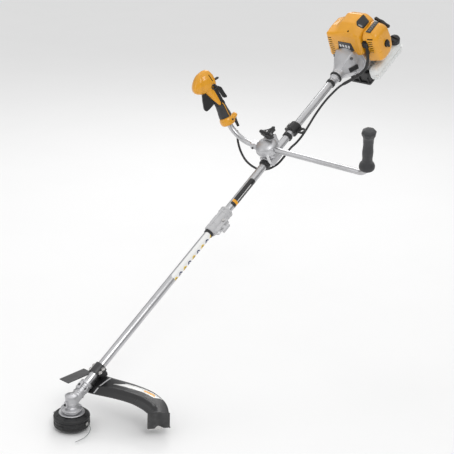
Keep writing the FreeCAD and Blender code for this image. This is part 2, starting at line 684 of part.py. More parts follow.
def engine_pieces():
    rim = "housing_radius + 6"
    turned("clutch_housing", ENGINE, "x", [
        ("-88", "tube_radius + running_gap"), ("-88", "21"), ("-72", "22"), ("-40", "42"), ("-20", "52"),
        ("-3", "housing_radius"), ("-3", rim), ("27", rim), ("27", "flywheel_radius + 6"),
        ("0", "flywheel_radius + 6"), ("-2", "drum_radius + 13"), ("-22", "drum_radius + 4"),
        ("-29", "drum_radius - 3"), ("-32", "socket_radius + running_gap"),
        ("-44.7", "socket_radius + running_gap"), ("-44.7", "tube_radius + running_gap")])
    turned("clutch_drum", ENGINE, "x", [
        ("-43", "drive_radius"), ("-43", "socket_radius"), ("-26", "socket_radius"), ("-26", "drum_radius"),
        ("0", "drum_radius"), ("0", "drum_radius - 2.5"), ("-23", "drum_radius - 2.5"), ("-23", "0"),
        ("-26", "0"), ("-26", "drive_radius")])
    ring = turned_shape("x", [("-19", "16"), ("-19", "drum_radius - 4"), ("4", "drum_radius - 4"),
                              ("4", "16")])
    piece("clutch_shoes", cut(ring, block(("-30", "30"), ("-5", "5"), ("-60", "60"))), ENGINE)
    disc = turned_shape("x", [
        ("4.3", "crank_radius"), ("4.3", "34"), ("12", "34"), ("12", "flywheel_radius"),
        ("22", "flywheel_radius"), ("22", "crank_radius")])
    fins = []
    for index in range(12):
        fin = block(("4", "13"), ("36", "flywheel_radius"), ("-1.2", "1.2"))
        fins.append(tilted(fin, axis=(1, 0, 0), turn=str(30 * index)))
    piece("flywheel", fuse(disc, *fins), ENGINE)

    station = "cylinder_station"
    case = cut(
        fuse(rod("x", "27", "33", rim), rod("x", "33", f"{station} + 28", "40"),
             rod("x", f"{station} + 28", f"{station} + 34", "47"),
             block((f"{station} - 25", f"{station} + 25"), ("-25", "25"), ("25", "42"))),
        rod("x", f"{station} - 23", f"{station} + 23", "33"),
        rod("x", "20", f"{station} + 40", "8 + running_gap"),
        rod("z", "0", "50", "piston_radius + 1", (station, "0")))
    piece("crankcase", case, ENGINE)
    throw = "stroke / 2"
    crank = fuse(
        rod("x", "2", f"{station} - 22", "crank_radius"), rod("x", "30", f"{station} - 16", "8"),
        rod("x", f"{station} - 16", f"{station} - 8", "28"), rod("x", f"{station} + 8", f"{station} + 16",
                                                                 "28"),
        rod("x", f"{station} - 10", f"{station} + 10", "5", ("0", throw)),
        rod("x", f"{station} + 16", f"{station} + 36", "8"), rod("x", f"{station} + 36", f"{station} + 50",
                                                                 "4"))
    piece("crankshaft", crank, ENGINE)

    at = (station, "0")
    fins = [rod("z", str(50 + 7 * index), str(52 + 7 * index), "27", at) for index in range(9)]
    barrel = cut(
        fuse(block((f"{station} - 25", f"{station} + 25"), ("-25", "25"), ("42 + rest_gap", "47"), 1.5),
             rod("z", "44", "104", "piston_radius + 5", at), *fins,
             rod("z", "100", "112", "12", at),
             block((f"{station} - 12", f"{station} + 12"), ("0", "37"), ("56", "82")),
             block((f"{station} - 12", f"{station} + 12"), ("-37", "0"), ("54", "80"))),
        rod("z", "0", "98", "piston_radius + running_gap", at),
        rod("z", "98", "120", "5 + running_gap", at))
    piece("cylinder", barrel, ENGINE)
    piece("piston", cut(rod("z", "64", "96", "piston_radius", at), rod("z", "60", "92", "piston_radius - 3",
                                                                       at)),
          ENGINE)
    piece("spark_plug", fuse(rod("z", "99", "112.3", "5", at), rod("z", "112.3", "118", "8", at),
                             rod("z", "118", "128", "4", at)), ENGINE)
    boot = cut(fuse(rod("z", "118.5", "133", "8", at),
                    block((f"{station} - 8", f"{station} + 8"), ("-30", "0"), ("122", "133"), 3)),
               rod("z", "110", "128.3", "4 + running_gap", at))
    piece("plug_cap", boot, ENGINE)
    muffler = cut(block((f"{station} - 25", f"{station} + 30"), ("37 + rest_gap", "75"), ("34", "96"), 7),
                  rod("y", "65", "90", "7", (f"{station} + 14", "44")))
    piece("muffler", muffler, ENGINE)
    piece("carburettor", cut(
        fuse(block((f"{station} - 15", f"{station} + 15"), ("-70", "-37 - rest_gap"), ("50", "84"), 2),
             block(("9", "23.5"), ("-88", "-64"), ("58", "80"), 3),
             block(("20", f"{station} - 10"), ("-69", "-63"), ("62", "78")),
             rod("z", "44", "90", "6", (f"{station} + 8", "-56"))),
        rod("y", "-90", "-30", "8", (station, "66"))), ENGINE)
    filter_low, filter_high = "24", f"{station} + 42"
    shell = cut(
        fuse(block((filter_low, filter_high), ("-122", "-72"), ("-4", "110"), 9),
             block((f"{filter_low} + 14", f"{filter_high} + 8"), ("-112", "-72"), ("4", "96"), 8)),
        block((f"{filter_low} + shell_wall", f"{filter_high} - shell_wall"), ("-122 + shell_wall", "-60"),
              ("-4 + shell_wall", "110 - shell_wall"), 7),
        rod("y", "-130", "-110", "6 + running_gap", ("66", "44")),
        *[block(("20", "30"), ("-108", "-88"), (str(14 + 11 * index), str(19 + 11 * index)))
          for index in range(6)])
    piece("air_filter_cover", shell, ENGINE)
    piece("air_filter", cut(
        block((f"{station} - 28", f"{station} + 32"), ("-92", "-70 - rest_gap"), ("10", "100"), 3),
        rod("y", "-100", "-78", "16", (station, "60"))), ENGINE)
    knob = fuse(rod("y", "-126", "-112", "6", ("66", "44")), rod("y", "-132", "-122.3", "11", ("66", "44")),
                block(("62", "70"), ("-136", "-123"), ("30", "58"), 3))
    piece("filter_knob", knob, ENGINE)

    cover = cut(
        fuse(block(("0", "112"), ("-66", "82"), ("2", "112"), 14),
             block(("24", "106"), ("-54", "24"), ("40", "138"), 14)),
        block(("shell_wall", "112 - shell_wall"), ("-66 + shell_wall", "82 - shell_wall"),
              ("-2", "112 - shell_wall"), 11),
        block(("24 + shell_wall", "106 - shell_wall"), ("-54 + shell_wall", "24 - shell_wall"),
              ("40", "138 - shell_wall"), 11),
        rod("x", "-10", "140", "housing_radius + 6 + rest_gap"),
        block(("20", "140"), ("-90", "92"), ("-10", "10")),
        block(("30", "96"), ("-80", "-50"), ("30", "100")),
        block(("-5", "34"), ("-90", "-60"), ("56", "86")),
        block(("36", "84"), ("-60", "-30"), ("102", "150")),
        *[block(("-4", "9"), ("50", "68"),
                (str(20 + 9 * index), str(24 + 9 * index))) for index in range(9)])
    piece("engine_cover", cover, ENGINE)

    back = f"{station} + 34"
    turned("starter_housing", ENGINE, "x", [
        (back, "44"), (back, "58"), (f"{back} + 6", "62"), (f"{back} + 50", "61"), (f"{back} + 62", "52"),
        (f"{back} + 62", "0"), (f"{back} + 54", "0"), (f"{back} + 54", "44")])
    turned("starter_pulley", ENGINE, "x", [
        (f"{back} + 4", "4 + running_gap"), (f"{back} + 4", "30"), (f"{back} + 6", "30"),
        (f"{back} + 8", "24"),
        (f"{back} + 12", "24"), (f"{back} + 14", "30"), (f"{back} + 16", "30"),
        (f"{back} + 16", "4 + running_gap")])
    grip_at = f"{back} + 62 + rest_gap"
    grip = tilted(block(("0", "15"), ("-32", "32"), ("-7", "7"), 5), x=grip_at, y="-42", z="38",
                  axis=(1, 0, 0), turn="32")
    piece("starter_grip", group(grip), ENGINE)

    neck_at = {"x": "154", "y": "-76", "z": "-44", "axis": (1, 0, 0), "turn": "20"}
    tank = cut(
        fuse(block(("34 + rest_gap", "160"), ("-72", "64"), ("-108", "-67"), 14),
             block(("6", "174"), ("-92", "-54"), ("-86", "-38"), 12),
             tilted(rod("z", "0", "24", "cap_radius - 3"), **neck_at)),
        block(("34 + shell_wall", "160 - shell_wall"), ("-72 + shell_wall", "64 - shell_wall"),
              ("-108 + shell_wall", "-67 - shell_wall"), 11),
        block(("6 + shell_wall", "174 - shell_wall"), ("-92 + shell_wall", "-54 - shell_wall"),
              ("-86 + shell_wall", "-38 - shell_wall"), 9),
        tilted(rod("z", "-20", "25", "cap_radius - 6"), **neck_at))
    piece("fuel_tank", tank, ENGINE)
    cap = tilted(cut(rod("z", "12", "34", "cap_radius"),
                     rod("z", "11", "24.3", "cap_radius - 3 + running_gap")),
                 **neck_at)
    piece("fuel_cap", group(cap), ENGINE)
    foot = fuse(block(("14", "34"), ("-46", "40"), ("-112", "-64"), 4),
                block(("8", "50"), ("-46", "40"), ("-117", "-108 - rest_gap"), 3))
    piece("engine_foot", cut(foot, rod("x", "-20", "60", "housing_radius + 6 + rest_gap")), ENGINE)


head_pieces()
line_head_pieces()
guard_pieces()
shaft_pieces()
handle_pieces()
throttle_cable()
engine_pieces()
doc.recompute()


# ---------------------------------------------------------------- checks and files

for item in doc.Objects:
    if "Invalid" in item.State or "Error" in item.State:
        raise RuntimeError(f"{item.Name} ({item.Label}) failed: {item.State}")
for item in pieces:
    if item.Shape.isNull() or not item.Shape.isValid():
        raise RuntimeError(f"{item.Label} has no valid shape")
    if not item.Shape.Solids:
        raise RuntimeError(f"{item.Label} has no solid")

os.makedirs("parts", exist_ok=True)
for item in pieces:
    item.Shape.exportStep(f"parts/{item.Label}.step")
print(len(pieces), "pieces written")
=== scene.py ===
"""A petrol string trimmer: camera, light, finishes and finished surfaces around the fixed frame.

Shapes are worked out in millimetres, each in the frame of the part that it sits on, and placed by a matrix.
"""
import json
import math

import bmesh
import bpy
import numpy as np
from mathutils import Matrix, Vector


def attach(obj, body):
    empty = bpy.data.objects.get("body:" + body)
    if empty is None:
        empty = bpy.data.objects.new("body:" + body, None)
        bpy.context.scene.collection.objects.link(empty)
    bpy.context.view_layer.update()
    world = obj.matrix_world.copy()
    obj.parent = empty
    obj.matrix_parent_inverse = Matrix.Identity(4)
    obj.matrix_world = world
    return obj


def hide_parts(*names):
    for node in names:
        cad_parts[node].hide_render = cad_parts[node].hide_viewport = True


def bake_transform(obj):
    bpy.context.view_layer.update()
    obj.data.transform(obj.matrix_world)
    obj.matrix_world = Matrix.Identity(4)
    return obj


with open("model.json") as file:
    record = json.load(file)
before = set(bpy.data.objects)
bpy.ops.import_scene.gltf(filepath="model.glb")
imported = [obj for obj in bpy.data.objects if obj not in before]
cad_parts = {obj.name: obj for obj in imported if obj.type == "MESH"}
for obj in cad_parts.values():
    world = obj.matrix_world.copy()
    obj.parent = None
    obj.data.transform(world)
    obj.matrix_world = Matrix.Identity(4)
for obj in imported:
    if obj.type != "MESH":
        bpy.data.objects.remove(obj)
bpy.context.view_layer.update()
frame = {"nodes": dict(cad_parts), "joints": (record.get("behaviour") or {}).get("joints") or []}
joints = {joint["name"]: joint for joint in frame["joints"]}
MM = 0.001


# ---------------------------------------------------------------- frames

def shift(x=0.0, y=0.0, z=0.0):
    """A move as a 4 by 4 matrix."""
    matrix = np.eye(4)
    matrix[:3, 3] = x, y, z
    return matrix


def turn(axis, degrees):
    """A turn about a main axis as a 4 by 4 matrix."""
    return np.array(Matrix.Rotation(math.radians(degrees), 4, axis.upper()))


drive_axis = joints["drive_spin"]["axis"]
slope = math.degrees(math.atan2(drive_axis[2], drive_axis[0]))
gear_height = joints["drive_spin"]["pos_m"][2] / MM
swivel = np.array(joints["handlebar_swivel"]["pos_m"]) / MM
handle_station = math.hypot(swivel[0], swivel[2] - gear_height)
split_station = 752.0
harness_station = 1190.0
engine_station = 1545.0
tube_radius = 13.0
bar_radius = 9.5
head_radius = 54.0
head_height = 49.0
bar_height, bar_lean = 42.0, 14.0
left_reach, left_bend, left_angle = 366.0, 36.0, 78.0
right_reach, right_bend, right_angle = 60.0, 100.0, 72.0
cylinder_station = 61.0

HEAD = np.eye(4)
EYELETS = turn("z", -78)
SHAFT = shift(z=gear_height) @ turn("y", -slope)
COUPLER = SHAFT @ shift(split_station)
HANDLE = SHAFT @ shift(handle_station)
HARNESS = SHAFT @ shift(harness_station)
ENGINE = SHAFT @ shift(engine_station)
BAR = HANDLE @ shift(z=bar_height) @ turn("y", bar_lean)


def arm_end(side, reach, bend, angle):
    """The frame at the top of a handlebar bend, with z along the grip."""
    swing = math.radians(angle)
    return (BAR @ shift(0, side * (reach + bend * math.sin(swing)), bend * (1 - math.cos(swing)))
            @ turn("x", -side * (90 - angle)))


LEFT_GRIP = arm_end(-1, left_reach, left_bend, left_angle)
THROTTLE = arm_end(1, right_reach, right_bend, right_angle) @ turn("z", -25)


# ---------------------------------------------------------------- mesh helpers

def placed(points, place):
    """Points in millimetres of a frame as metres of the model."""
    flat = np.asarray(points, float).reshape(-1, 3)
    return (flat @ place[:3, :3].T + place[:3, 3]) * MM


def grid_faces(rows, columns, wrap_rows=False, wrap_columns=True):
    """The quads of a rows by columns grid of points, which may close on itself either way."""
    index = np.arange(rows * columns).reshape(rows, columns)
    if wrap_rows:
        index = np.vstack([index, index[:1]])
    if wrap_columns:
        index = np.hstack([index, index[:, :1]])
    corners = index[:-1, :-1], index[1:, :-1], index[1:, 1:], index[:-1, 1:]
    return np.stack([corner.ravel() for corner in corners], axis=1)


def piece(name, parts, place, body, finish, stands_for=(), sharp=32, bevel=0.0):
    """One object from (points, faces) parts: doubles merged, faces turned outward, hard edges kept sharp."""
    vertices, faces, base = [], [], 0
    for points, quads in parts:
        vertices.append(placed(points, place))
        faces += [[int(corner) + base for corner in quad] for quad in quads]
        base += len(vertices[-1])
    mesh = bpy.data.meshes.new(name)
    mesh.from_pydata(np.vstack(vertices).tolist(), [], faces)
    edit = bmesh.new()
    edit.from_mesh(mesh)
    bmesh.ops.remove_doubles(edit, verts=edit.verts, dist=1e-6)
    bmesh.ops.dissolve_degenerate(edit, edges=edit.edges, dist=1e-7)
    bmesh.ops.recalc_face_normals(edit, faces=edit.faces)
    edit.to_mesh(mesh)
    edit.free()
    mesh.shade_smooth()
    mesh.set_sharp_from_angle(angle=math.radians(sharp))
    made = bpy.data.objects.new(name, mesh)
    bpy.context.scene.collection.objects.link(made)
    mesh.materials.append(finish)
    if bevel:
        edge = made.modifiers.new("edge", "BEVEL")
        edge.width = bevel * MM
        edge.segments = 3
        edge.limit_method = "ANGLE"
        edge.angle_limit = math.radians(40)
        edge.harden_normals = True
    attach(made, body)
    if stands_for:
        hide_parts(*stands_for)
    return made


def eased(outline, radius, steps=4):
    """A closed outline whose corners are rounded: (1-t)^2 start + 2t(1-t) corner + t^2 end at each."""
    points = np.asarray(outline, float)
    before = np.roll(points, 1, axis=0) - points
    after = np.roll(points, -1, axis=0) - points
    reach = np.minimum(np.linalg.norm(before, axis=1), np.linalg.norm(after, axis=1)) * 0.45
    reach = np.minimum(reach, radius)[:, None]
    start = points + before / np.linalg.norm(before, axis=1)[:, None] * reach
    end = points + after / np.linalg.norm(after, axis=1)[:, None] * reach
    t = np.linspace(0, 1, steps + 1)[None, :, None]
    arcs = (1 - t) ** 2 * start[:, None] + 2 * t * (1 - t) * points[:, None] + t ** 2 * end[:, None]
    return arcs.reshape(-1, points.shape[1])


def revolved(outline, axis="z", ease=0.8, segments=72, ripple=None):
    """A closed outline of (station, radius) carried round an axis: (r cos a, r sin a, station).

    ripple(angle, station) multiplies the radius r.
    """
    profile = eased(outline, ease)
    profile[:, 1] = np.maximum(profile[:, 1], 0)
    angle = np.linspace(0, 2 * math.pi, segments, endpoint=False)
    station = np.repeat(profile[:, :1], segments, axis=1)
    radius = np.repeat(profile[:, 1:], segments, axis=1)
    if ripple:
        radius = radius * ripple(angle[None, :], station)
    across, up = radius * np.cos(angle), radius * np.sin(angle)
    order = {"z": (across, up, station), "x": (station, across, up), "y": (across, station, -up)}[axis]
    points = np.stack(order, axis=-1)
    return points.reshape(-1, 3), grid_faces(len(profile), segments, wrap_rows=True)


def moved(part, *matrices):
    """A part after one or more matrices, the last one first."""
    matrix = np.linalg.multi_dot(matrices) if len(matrices) > 1 else matrices[0]
    points = np.asarray(part[0], float)
    return points @ matrix[:3, :3].T + matrix[:3, 3], part[1]


def prism(outline, low, high, plane="xy"):
    """An outline carried from low to high across its plane, xy or xz."""
    flat = np.asarray(outline, float)
    count = len(flat)
    ends = [np.column_stack([flat, np.full(count, level)]) for level in (low, high)]
    points = np.vstack(ends)
    if plane == "xz":
        points = points[:, [0, 2, 1]]
    sides = [[i, (i + 1) % count, (i + 1) % count + count, i + count] for i in range(count)]
    return points, sides + [list(range(count))[::-1], list(range(count, 2 * count))]


def soft_box(low, high, radius, steps=4):
    """A box with quarter-round edges: core point + radius * unit(cube point - core point)."""
    low, high = np.asarray(low, float), np.asarray(high, float)
    half, middle = (high - low) / 2, (high + low) / 2
    radius = min(radius, half.min() * 0.98)
    core = half - radius
    lean = np.tan(np.linspace(0, math.pi / 4, steps + 1))
    vertices, quads, base = [], [], 0
    for axis in range(3):
        u, v = [(1, 2), (2, 0), (0, 1)][axis]
        runs = [np.concatenate([-core[k] - radius * lean[::-1], core[k] + radius * lean]) for k in (u, v)]
        grid_u, grid_v = np.meshgrid(*runs, indexing="ij")
        for side in (-1, 1):
            cube = np.zeros(grid_u.shape + (3,))
            cube[..., u], cube[..., v], cube[..., axis] = grid_u, grid_v, side * half[axis]
            inner = np.clip(cube, -core, core)
            out = cube - inner
            out /= np.linalg.norm(out, axis=-1, keepdims=True)
            vertices.append((inner + out * radius + middle).reshape(-1, 3))
            quads.append(grid_faces(*grid_u.shape, wrap_columns=False) + base)
            base += grid_u.size
    return np.vstack(vertices), np.vstack(quads)


def lofted(rings):
    """Closed rings of equal count joined in order, with flat ends."""
    rings = np.asarray(rings, float)
    rows, columns = rings.shape[:2]
    faces = grid_faces(rows, columns).tolist()
    faces += [list(range(columns))[::-1], list(range((rows - 1) * columns, rows * columns))]
    return rings.reshape(-1, 3), faces


def smooth_path(points, count=None, tension=0.5):
    """A cardinal spline through the points, sampled evenly in its own parameter."""
    points = np.asarray(points, float)
    padded = np.vstack([2 * points[0] - points[1], points, 2 * points[-1] - points[-2]])
    count = count or 12 * (len(points) - 1) + 1
    where = np.linspace(0, len(points) - 1 - 1e-9, count)
    span = where.astype(int)
    t = (where - span)[:, None]
    p0, p1, p2, p3 = (padded[span + k] for k in range(4))
    m1, m2 = (p2 - p0) * tension, (p3 - p1) * tension
    return ((2 * t ** 3 - 3 * t ** 2 + 1) * p1 + (t ** 3 - 2 * t ** 2 + t) * m1
            + (-2 * t ** 3 + 3 * t ** 2) * p2 + (t ** 3 - t ** 2) * m2)


def carried(path, section, scale=None, up=(0.0, 0.0, 1.0)):
    """A flat section (side, up) carried along a path, with its up axis kept near a given direction."""
    path = np.asarray(path, float)
    section = np.asarray(section, float)
    heading = np.gradient(path, axis=0)
    heading /= np.linalg.norm(heading, axis=1, keepdims=True)
    side = np.cross(heading, np.asarray(up, float))
    side /= np.linalg.norm(side, axis=1, keepdims=True)
    upward = np.cross(side, heading)
    size = np.ones(len(path)) if scale is None else np.asarray(scale, float)
    local = section[None] * size[:, None, None]
    rings = path[:, None] + side[:, None] * local[..., :1] + upward[:, None] * local[..., 1:]
    return lofted(rings)


def disc_section(radius, segments=20):
    """A circle as a flat section."""
    angle = np.linspace(0, 2 * math.pi, segments, endpoint=False)
    return np.column_stack([np.cos(angle), np.sin(angle)]) * radius


def screw(at, axis_frame, radius=4.0, height=3.0):
    """A round screw head with a round socket: a stepped outline turned about z."""
    head = revolved([(0, 0), (0, radius), (height * 0.7, radius), (height, radius * 0.85),
                     (height, radius * 0.5), (height * 0.35, radius * 0.5), (height * 0.35, 0)],
                    ease=0.25, segments=24)
    return moved(head, axis_frame, shift(*at))


def closed_sheet(upper, lower):
    """Two equal grids of points joined round their border into one closed plate."""
    rows, columns = upper.shape[:2]
    count = rows * columns
    faces = grid_faces(rows, columns, wrap_columns=False)
    index = np.arange(count).reshape(rows, columns)
    border = np.concatenate([index[0], index[1:, -1], index[-1, -2::-1], index[-2:0:-1, 0]])
    following = np.roll(border, -1)
    rim = np.stack([border, following, following + count, border + count], axis=1)
    points = np.concatenate([upper.reshape(-1, 3), lower.reshape(-1, 3)])
    return points, np.concatenate([faces, faces[:, ::-1] + count, rim]).tolist()


def layered(outline, levels, corner=5.0, steps=5, centre=(0.0, 0.0)):
    """Rounded outlines joined in order: each (share, height) sets share * p + (1 - share) * centre there."""
    flat, middle = np.asarray(outline, float), np.asarray(centre, float)
    rings = []
    for share, height in levels:
        ring = eased(flat * share + (1 - share) * middle, corner, steps)
        rings.append(np.column_stack([ring, np.full(len(ring), height)]))
    return lofted(rings)


def smooth_object(name, part, place, finish):
    """One object from a (points, faces) part just as it is, shaded smooth."""
    points, faces = part
    mesh = bpy.data.meshes.new(name)
    mesh.from_pydata(placed(points, place).tolist(), [], faces)
    mesh.materials.append(finish)
    made = bpy.data.objects.new(name, mesh)
    mesh.shade_smooth()
    bpy.context.scene.collection.objects.link(made)
    return made


# ---------------------------------------------------------------- finishes

def new_finish(name):
    """A material with its Principled shader and its Object coordinates."""
    finish = bpy.data.materials.new(name)
    finish.use_nodes = True
    tree = finish.node_tree
    shader = tree.nodes["Principled BSDF"]
    place = tree.nodes.new("ShaderNodeTexCoord")
    return finish, tree, shader, place.outputs["Object"]


def noise(tree, place, scale, detail=4.0, stretch=None, lean=(0.0, 0.0, 0.0)):
    """Noise of a given size, stretched along an axis after a turn where the grain has a direction."""
    if stretch:
        mapping = tree.nodes.new("ShaderNodeMapping")
        mapping.inputs["Rotation"].default_value = lean
        mapping.inputs["Scale"].default_value = stretch
        tree.links.new(place, mapping.inputs["Vector"])
        place = mapping.outputs["Vector"]
    texture = tree.nodes.new("ShaderNodeTexNoise")
    texture.inputs["Scale"].default_value = scale
    texture.inputs["Detail"].default_value = detail
    tree.links.new(place, texture.inputs["Vector"])
    return texture.outputs["Fac"]


def spread(tree, value, low, high, start=0.3, end=0.7):
    """A value between two numbers as another goes from start to end."""
    node = tree.nodes.new("ShaderNodeMapRange")
    node.inputs["From Min"].default_value = start
    node.inputs["From Max"].default_value = end
    node.inputs["To Min"].default_value = low
    node.inputs["To Max"].default_value = high
    tree.links.new(value, node.inputs["Value"])
    return node.outputs["Result"]


def blended(tree, share, first, second):
    """Two colours, or sockets of colour, mixed by a share."""
    node = tree.nodes.new("ShaderNodeMix")
    node.data_type = "RGBA"
    if isinstance(share, float):
        node.inputs["Factor"].default_value = share
    else:
        tree.links.new(share, node.inputs["Factor"])
    for socket, colour in zip((node.inputs[6], node.inputs[7]), (first, second)):
        if isinstance(colour, tuple):
            socket.default_value = (*colour, 1.0)
        else:
            tree.links.new(colour, socket)
    return node.outputs[2]


def bumped(tree, shader, height, distance):
    """Surface relief from a height, in metres, added to what the shader already has."""
    node = tree.nodes.new("ShaderNodeBump")
    node.inputs["Strength"].default_value = 1.0
    node.inputs["Distance"].default_value = distance
    tree.links.new(height, node.inputs["Height"])
    if shader.inputs["Normal"].links:
        tree.links.new(shader.inputs["Normal"].links[0].from_socket, node.inputs["Normal"])
    tree.links.new(node.outputs["Normal"], shader.inputs["Normal"])


def edge_share(tree):
    """Where the surface turns sharply outward: the worn edges."""
    geometry = tree.nodes.new("ShaderNodeNewGeometry")
    return spread(tree, geometry.outputs["Pointiness"], 0.0, 1.0, 0.53, 0.62)


def moulded(name, colour, worn, roughness=(0.3, 0.4), grain=900.0, relief=0.00004, coat=0.0, sheen=0.0):
    """Moulded plastic or rubber: slow colour drift, a fine spark-eroded grain, and edges rubbed paler."""
    finish, tree, shader, place = new_finish(name)
    drift = noise(tree, place, 14.0, 3.0)
    fine = noise(tree, place, grain, 2.0)
    dusk = tuple(channel * 0.86 for channel in colour)
    body_colour = blended(tree, spread(tree, drift, 0.0, 1.0), colour, dusk)
    rubbed = tree.nodes.new("ShaderNodeMath")
    rubbed.operation = "MULTIPLY"
    tree.links.new(edge_share(tree), rubbed.inputs[0])
    tree.links.new(spread(tree, noise(tree, place, 60.0), 0.15, 0.75), rubbed.inputs[1])
    tree.links.new(blended(tree, rubbed.outputs[0], body_colour, worn), shader.inputs["Base Color"])
    tree.links.new(spread(tree, noise(tree, place, 40.0, 5.0), *roughness), shader.inputs["Roughness"])
    shader.inputs["Coat Weight"].default_value = coat
    shader.inputs["Coat Roughness"].default_value = 0.12
    shader.inputs["Sheen Weight"].default_value = sheen
    bumped(tree, shader, fine, relief)
    return finish


def metal(name, colour, roughness=(0.25, 0.38), grain=260.0, relief=0.00003, stretch=None, lean=0.0):
    """Bare metal: cast skin or drawn lines, with soft stains in its shine."""
    finish, tree, shader, place = new_finish(name)
    shader.inputs["Metallic"].default_value = 1.0
    turned_by = (0.0, math.radians(lean), 0.0)
    lines = noise(tree, place, grain, 3.0, stretch, turned_by)
    stain = noise(tree, place, 22.0, 4.0)
    dull = tuple(channel * 0.84 for channel in colour)
    tree.links.new(blended(tree, spread(tree, stain, 0.0, 1.0), colour, dull), shader.inputs["Base Color"])
    tree.links.new(spread(tree, stain, *roughness), shader.inputs["Roughness"])
    bumped(tree, shader, lines, relief)
    return finish


AMBER = (0.84, 0.375, 0.012)
amber = moulded("amber_plastic", AMBER, (0.95, 0.56, 0.10), roughness=(0.26, 0.36), grain=700.0,
                relief=0.00002, coat=0.35)
black = moulded("black_plastic", (0.012, 0.012, 0.013), (0.07, 0.07, 0.072), roughness=(0.34, 0.46))
gloss_black = moulded("gloss_black", (0.006, 0.006, 0.007), (0.03, 0.03, 0.03), roughness=(0.12, 0.2),
                      coat=0.5)
grip_rubber = moulded("grip_rubber", (0.03, 0.031, 0.034), (0.09, 0.09, 0.09), roughness=(0.5, 0.64),
                      grain=1600.0, relief=0.00008, sheen=0.2)
soft_rubber = moulded("soft_rubber", (0.016, 0.016, 0.017), (0.06, 0.06, 0.06), roughness=(0.55, 0.7),
                      sheen=0.15)
tube_metal = metal("tube_metal", (0.60, 0.60, 0.612), roughness=(0.26, 0.34), grain=300.0,
                   stretch=(0.03, 1.0, 1.0), lean=slope, relief=0.00001)
bar_metal = metal("bar_metal", (0.55, 0.55, 0.562), roughness=(0.27, 0.35), grain=420.0, relief=0.00001)
cast = metal("cast_metal", (0.60, 0.60, 0.615), roughness=(0.38, 0.52), grain=1400.0, relief=0.00012)
machined = metal("machined_steel", (0.62, 0.61, 0.60), roughness=(0.2, 0.34), grain=800.0)
dark_steel = metal("dark_steel", (0.10, 0.10, 0.105), roughness=(0.3, 0.45), grain=500.0)
light_plastic = moulded("grey_plastic", (0.56, 0.56, 0.57), (0.75, 0.75, 0.75), roughness=(0.36, 0.46))
pale_trim = moulded("pale_trim", (0.78, 0.78, 0.79), (0.9, 0.9, 0.9), roughness=(0.35, 0.45))
foam = moulded("filter_foam", (0.05, 0.05, 0.05), (0.1, 0.1, 0.1), roughness=(0.85, 0.95), grain=500.0,
               relief=0.0006)
nylon = moulded("trimmer_line", (0.30, 0.32, 0.31), (0.5, 0.5, 0.5), roughness=(0.3, 0.4))


def milky():
    """Translucent tank plastic: white with light carried through it and a cloudy drift in its tone."""
    finish, tree, shader, place = new_finish("tank_plastic")
    shader.inputs["Subsurface Weight"].default_value = 0.35
    shader.inputs["Subsurface Radius"].default_value = (0.02, 0.02, 0.02)
    shader.inputs["Subsurface Scale"].default_value = 0.25
    cloud = noise(tree, place, 18.0, 4.0)
    tree.links.new(blended(tree, spread(tree, cloud, 0.0, 1.0), (0.80, 0.81, 0.80), (0.70, 0.72, 0.71)),
                   shader.inputs["Base Color"])
    tree.links.new(spread(tree, noise(tree, place, 50.0), 0.28, 0.4), shader.inputs["Roughness"])
    bumped(tree, shader, noise(tree, place, 300.0), 0.00003)
    return finish


tank_white = milky()
for name, finish in {
        "gear_bearings": machined, "pinion_gear": machined, "output_gear": machined,
        "output_shaft": machined, "lower_drive_shaft": machined, "upper_drive_shaft": machined,
        "clutch_drum": machined,
        "clutch_shoes": dark_steel, "flywheel": cast, "crankshaft": machined, "piston": cast,
        "spark_plug": pale_trim, "muffler": dark_steel, "line_cutter": machined, "line_eyelets": machined,
        "bump_spring": machined, "guard_bracket": black, "upper_tube": tube_metal, "lower_tube": tube_metal,
        "handlebar": bar_metal, "gear_case": cast, "blade_flange": cast, "coupler_body": light_plastic,
        "handle_bracket": cast, "handle_cap": cast, "clutch_housing": cast, "crankcase": cast,
        "cylinder": cast,
        "engine_cover": amber, "air_filter_cover": amber, "throttle_housing": amber, "guard": black,
        "spool_housing": black, "head_cover": black, "line_spool": black, "clamp_knob": black,
        "throttle_trigger": black, "throttle_lock": black, "stop_switch": black, "start_button": black,
        "coupler_knob": light_plastic, "coupler_button": pale_trim, "starter_housing": black,
        "starter_pulley": black, "starter_grip": black, "engine_foot": black, "fuel_cap": black,
        "filter_knob": black, "carburettor": black, "harness_clamp": black, "left_grip": grip_rubber,
        "grip_sleeve": grip_rubber, "tube_bands": soft_rubber, "plug_cap": soft_rubber,
        "throttle_cable": soft_rubber, "fuel_tank": tank_white, "cutting_line_front": nylon,
        "cutting_line_rear": nylon, "wound_line": nylon, "air_filter": foam}.items():
    node = frame["nodes"][name]
    node.data.materials.clear()
    node.data.materials.append(finish)


# ---------------------------------------------------------------- camera and light

def camera():
    """A long lens at waist height, looking along the ground and slightly down, rolled a little."""
    azimuth, pitch, roll = math.radians(40.72), math.radians(19.67), math.radians(1.67)
    level = np.array([math.cos(azimuth), math.sin(azimuth), 0.0])
    side = np.array([math.sin(azimuth), -math.cos(azimuth), 0.0])
    ahead = level * math.cos(pitch) - np.array([0, 0, math.sin(pitch)])
    upward = level * math.sin(pitch) + np.array([0, 0, math.cos(pitch)])
    right = side * math.cos(roll) + upward * math.sin(roll)
    top = upward * math.cos(roll) - side * math.sin(roll)
    data = bpy.data.cameras.new("camera")
    data.sensor_width = 36.0
    data.lens = 96.87
    made = bpy.data.objects.new("camera", data)
    matrix = np.eye(4)
    matrix[:3, 0], matrix[:3, 1], matrix[:3, 2] = right, top, -ahead
    matrix[:3, 3] = -2.132, -2.416, 1.782
    made.matrix_world = Matrix(matrix.tolist())
    bpy.context.scene.collection.objects.link(made)
    bpy.context.scene.camera = made


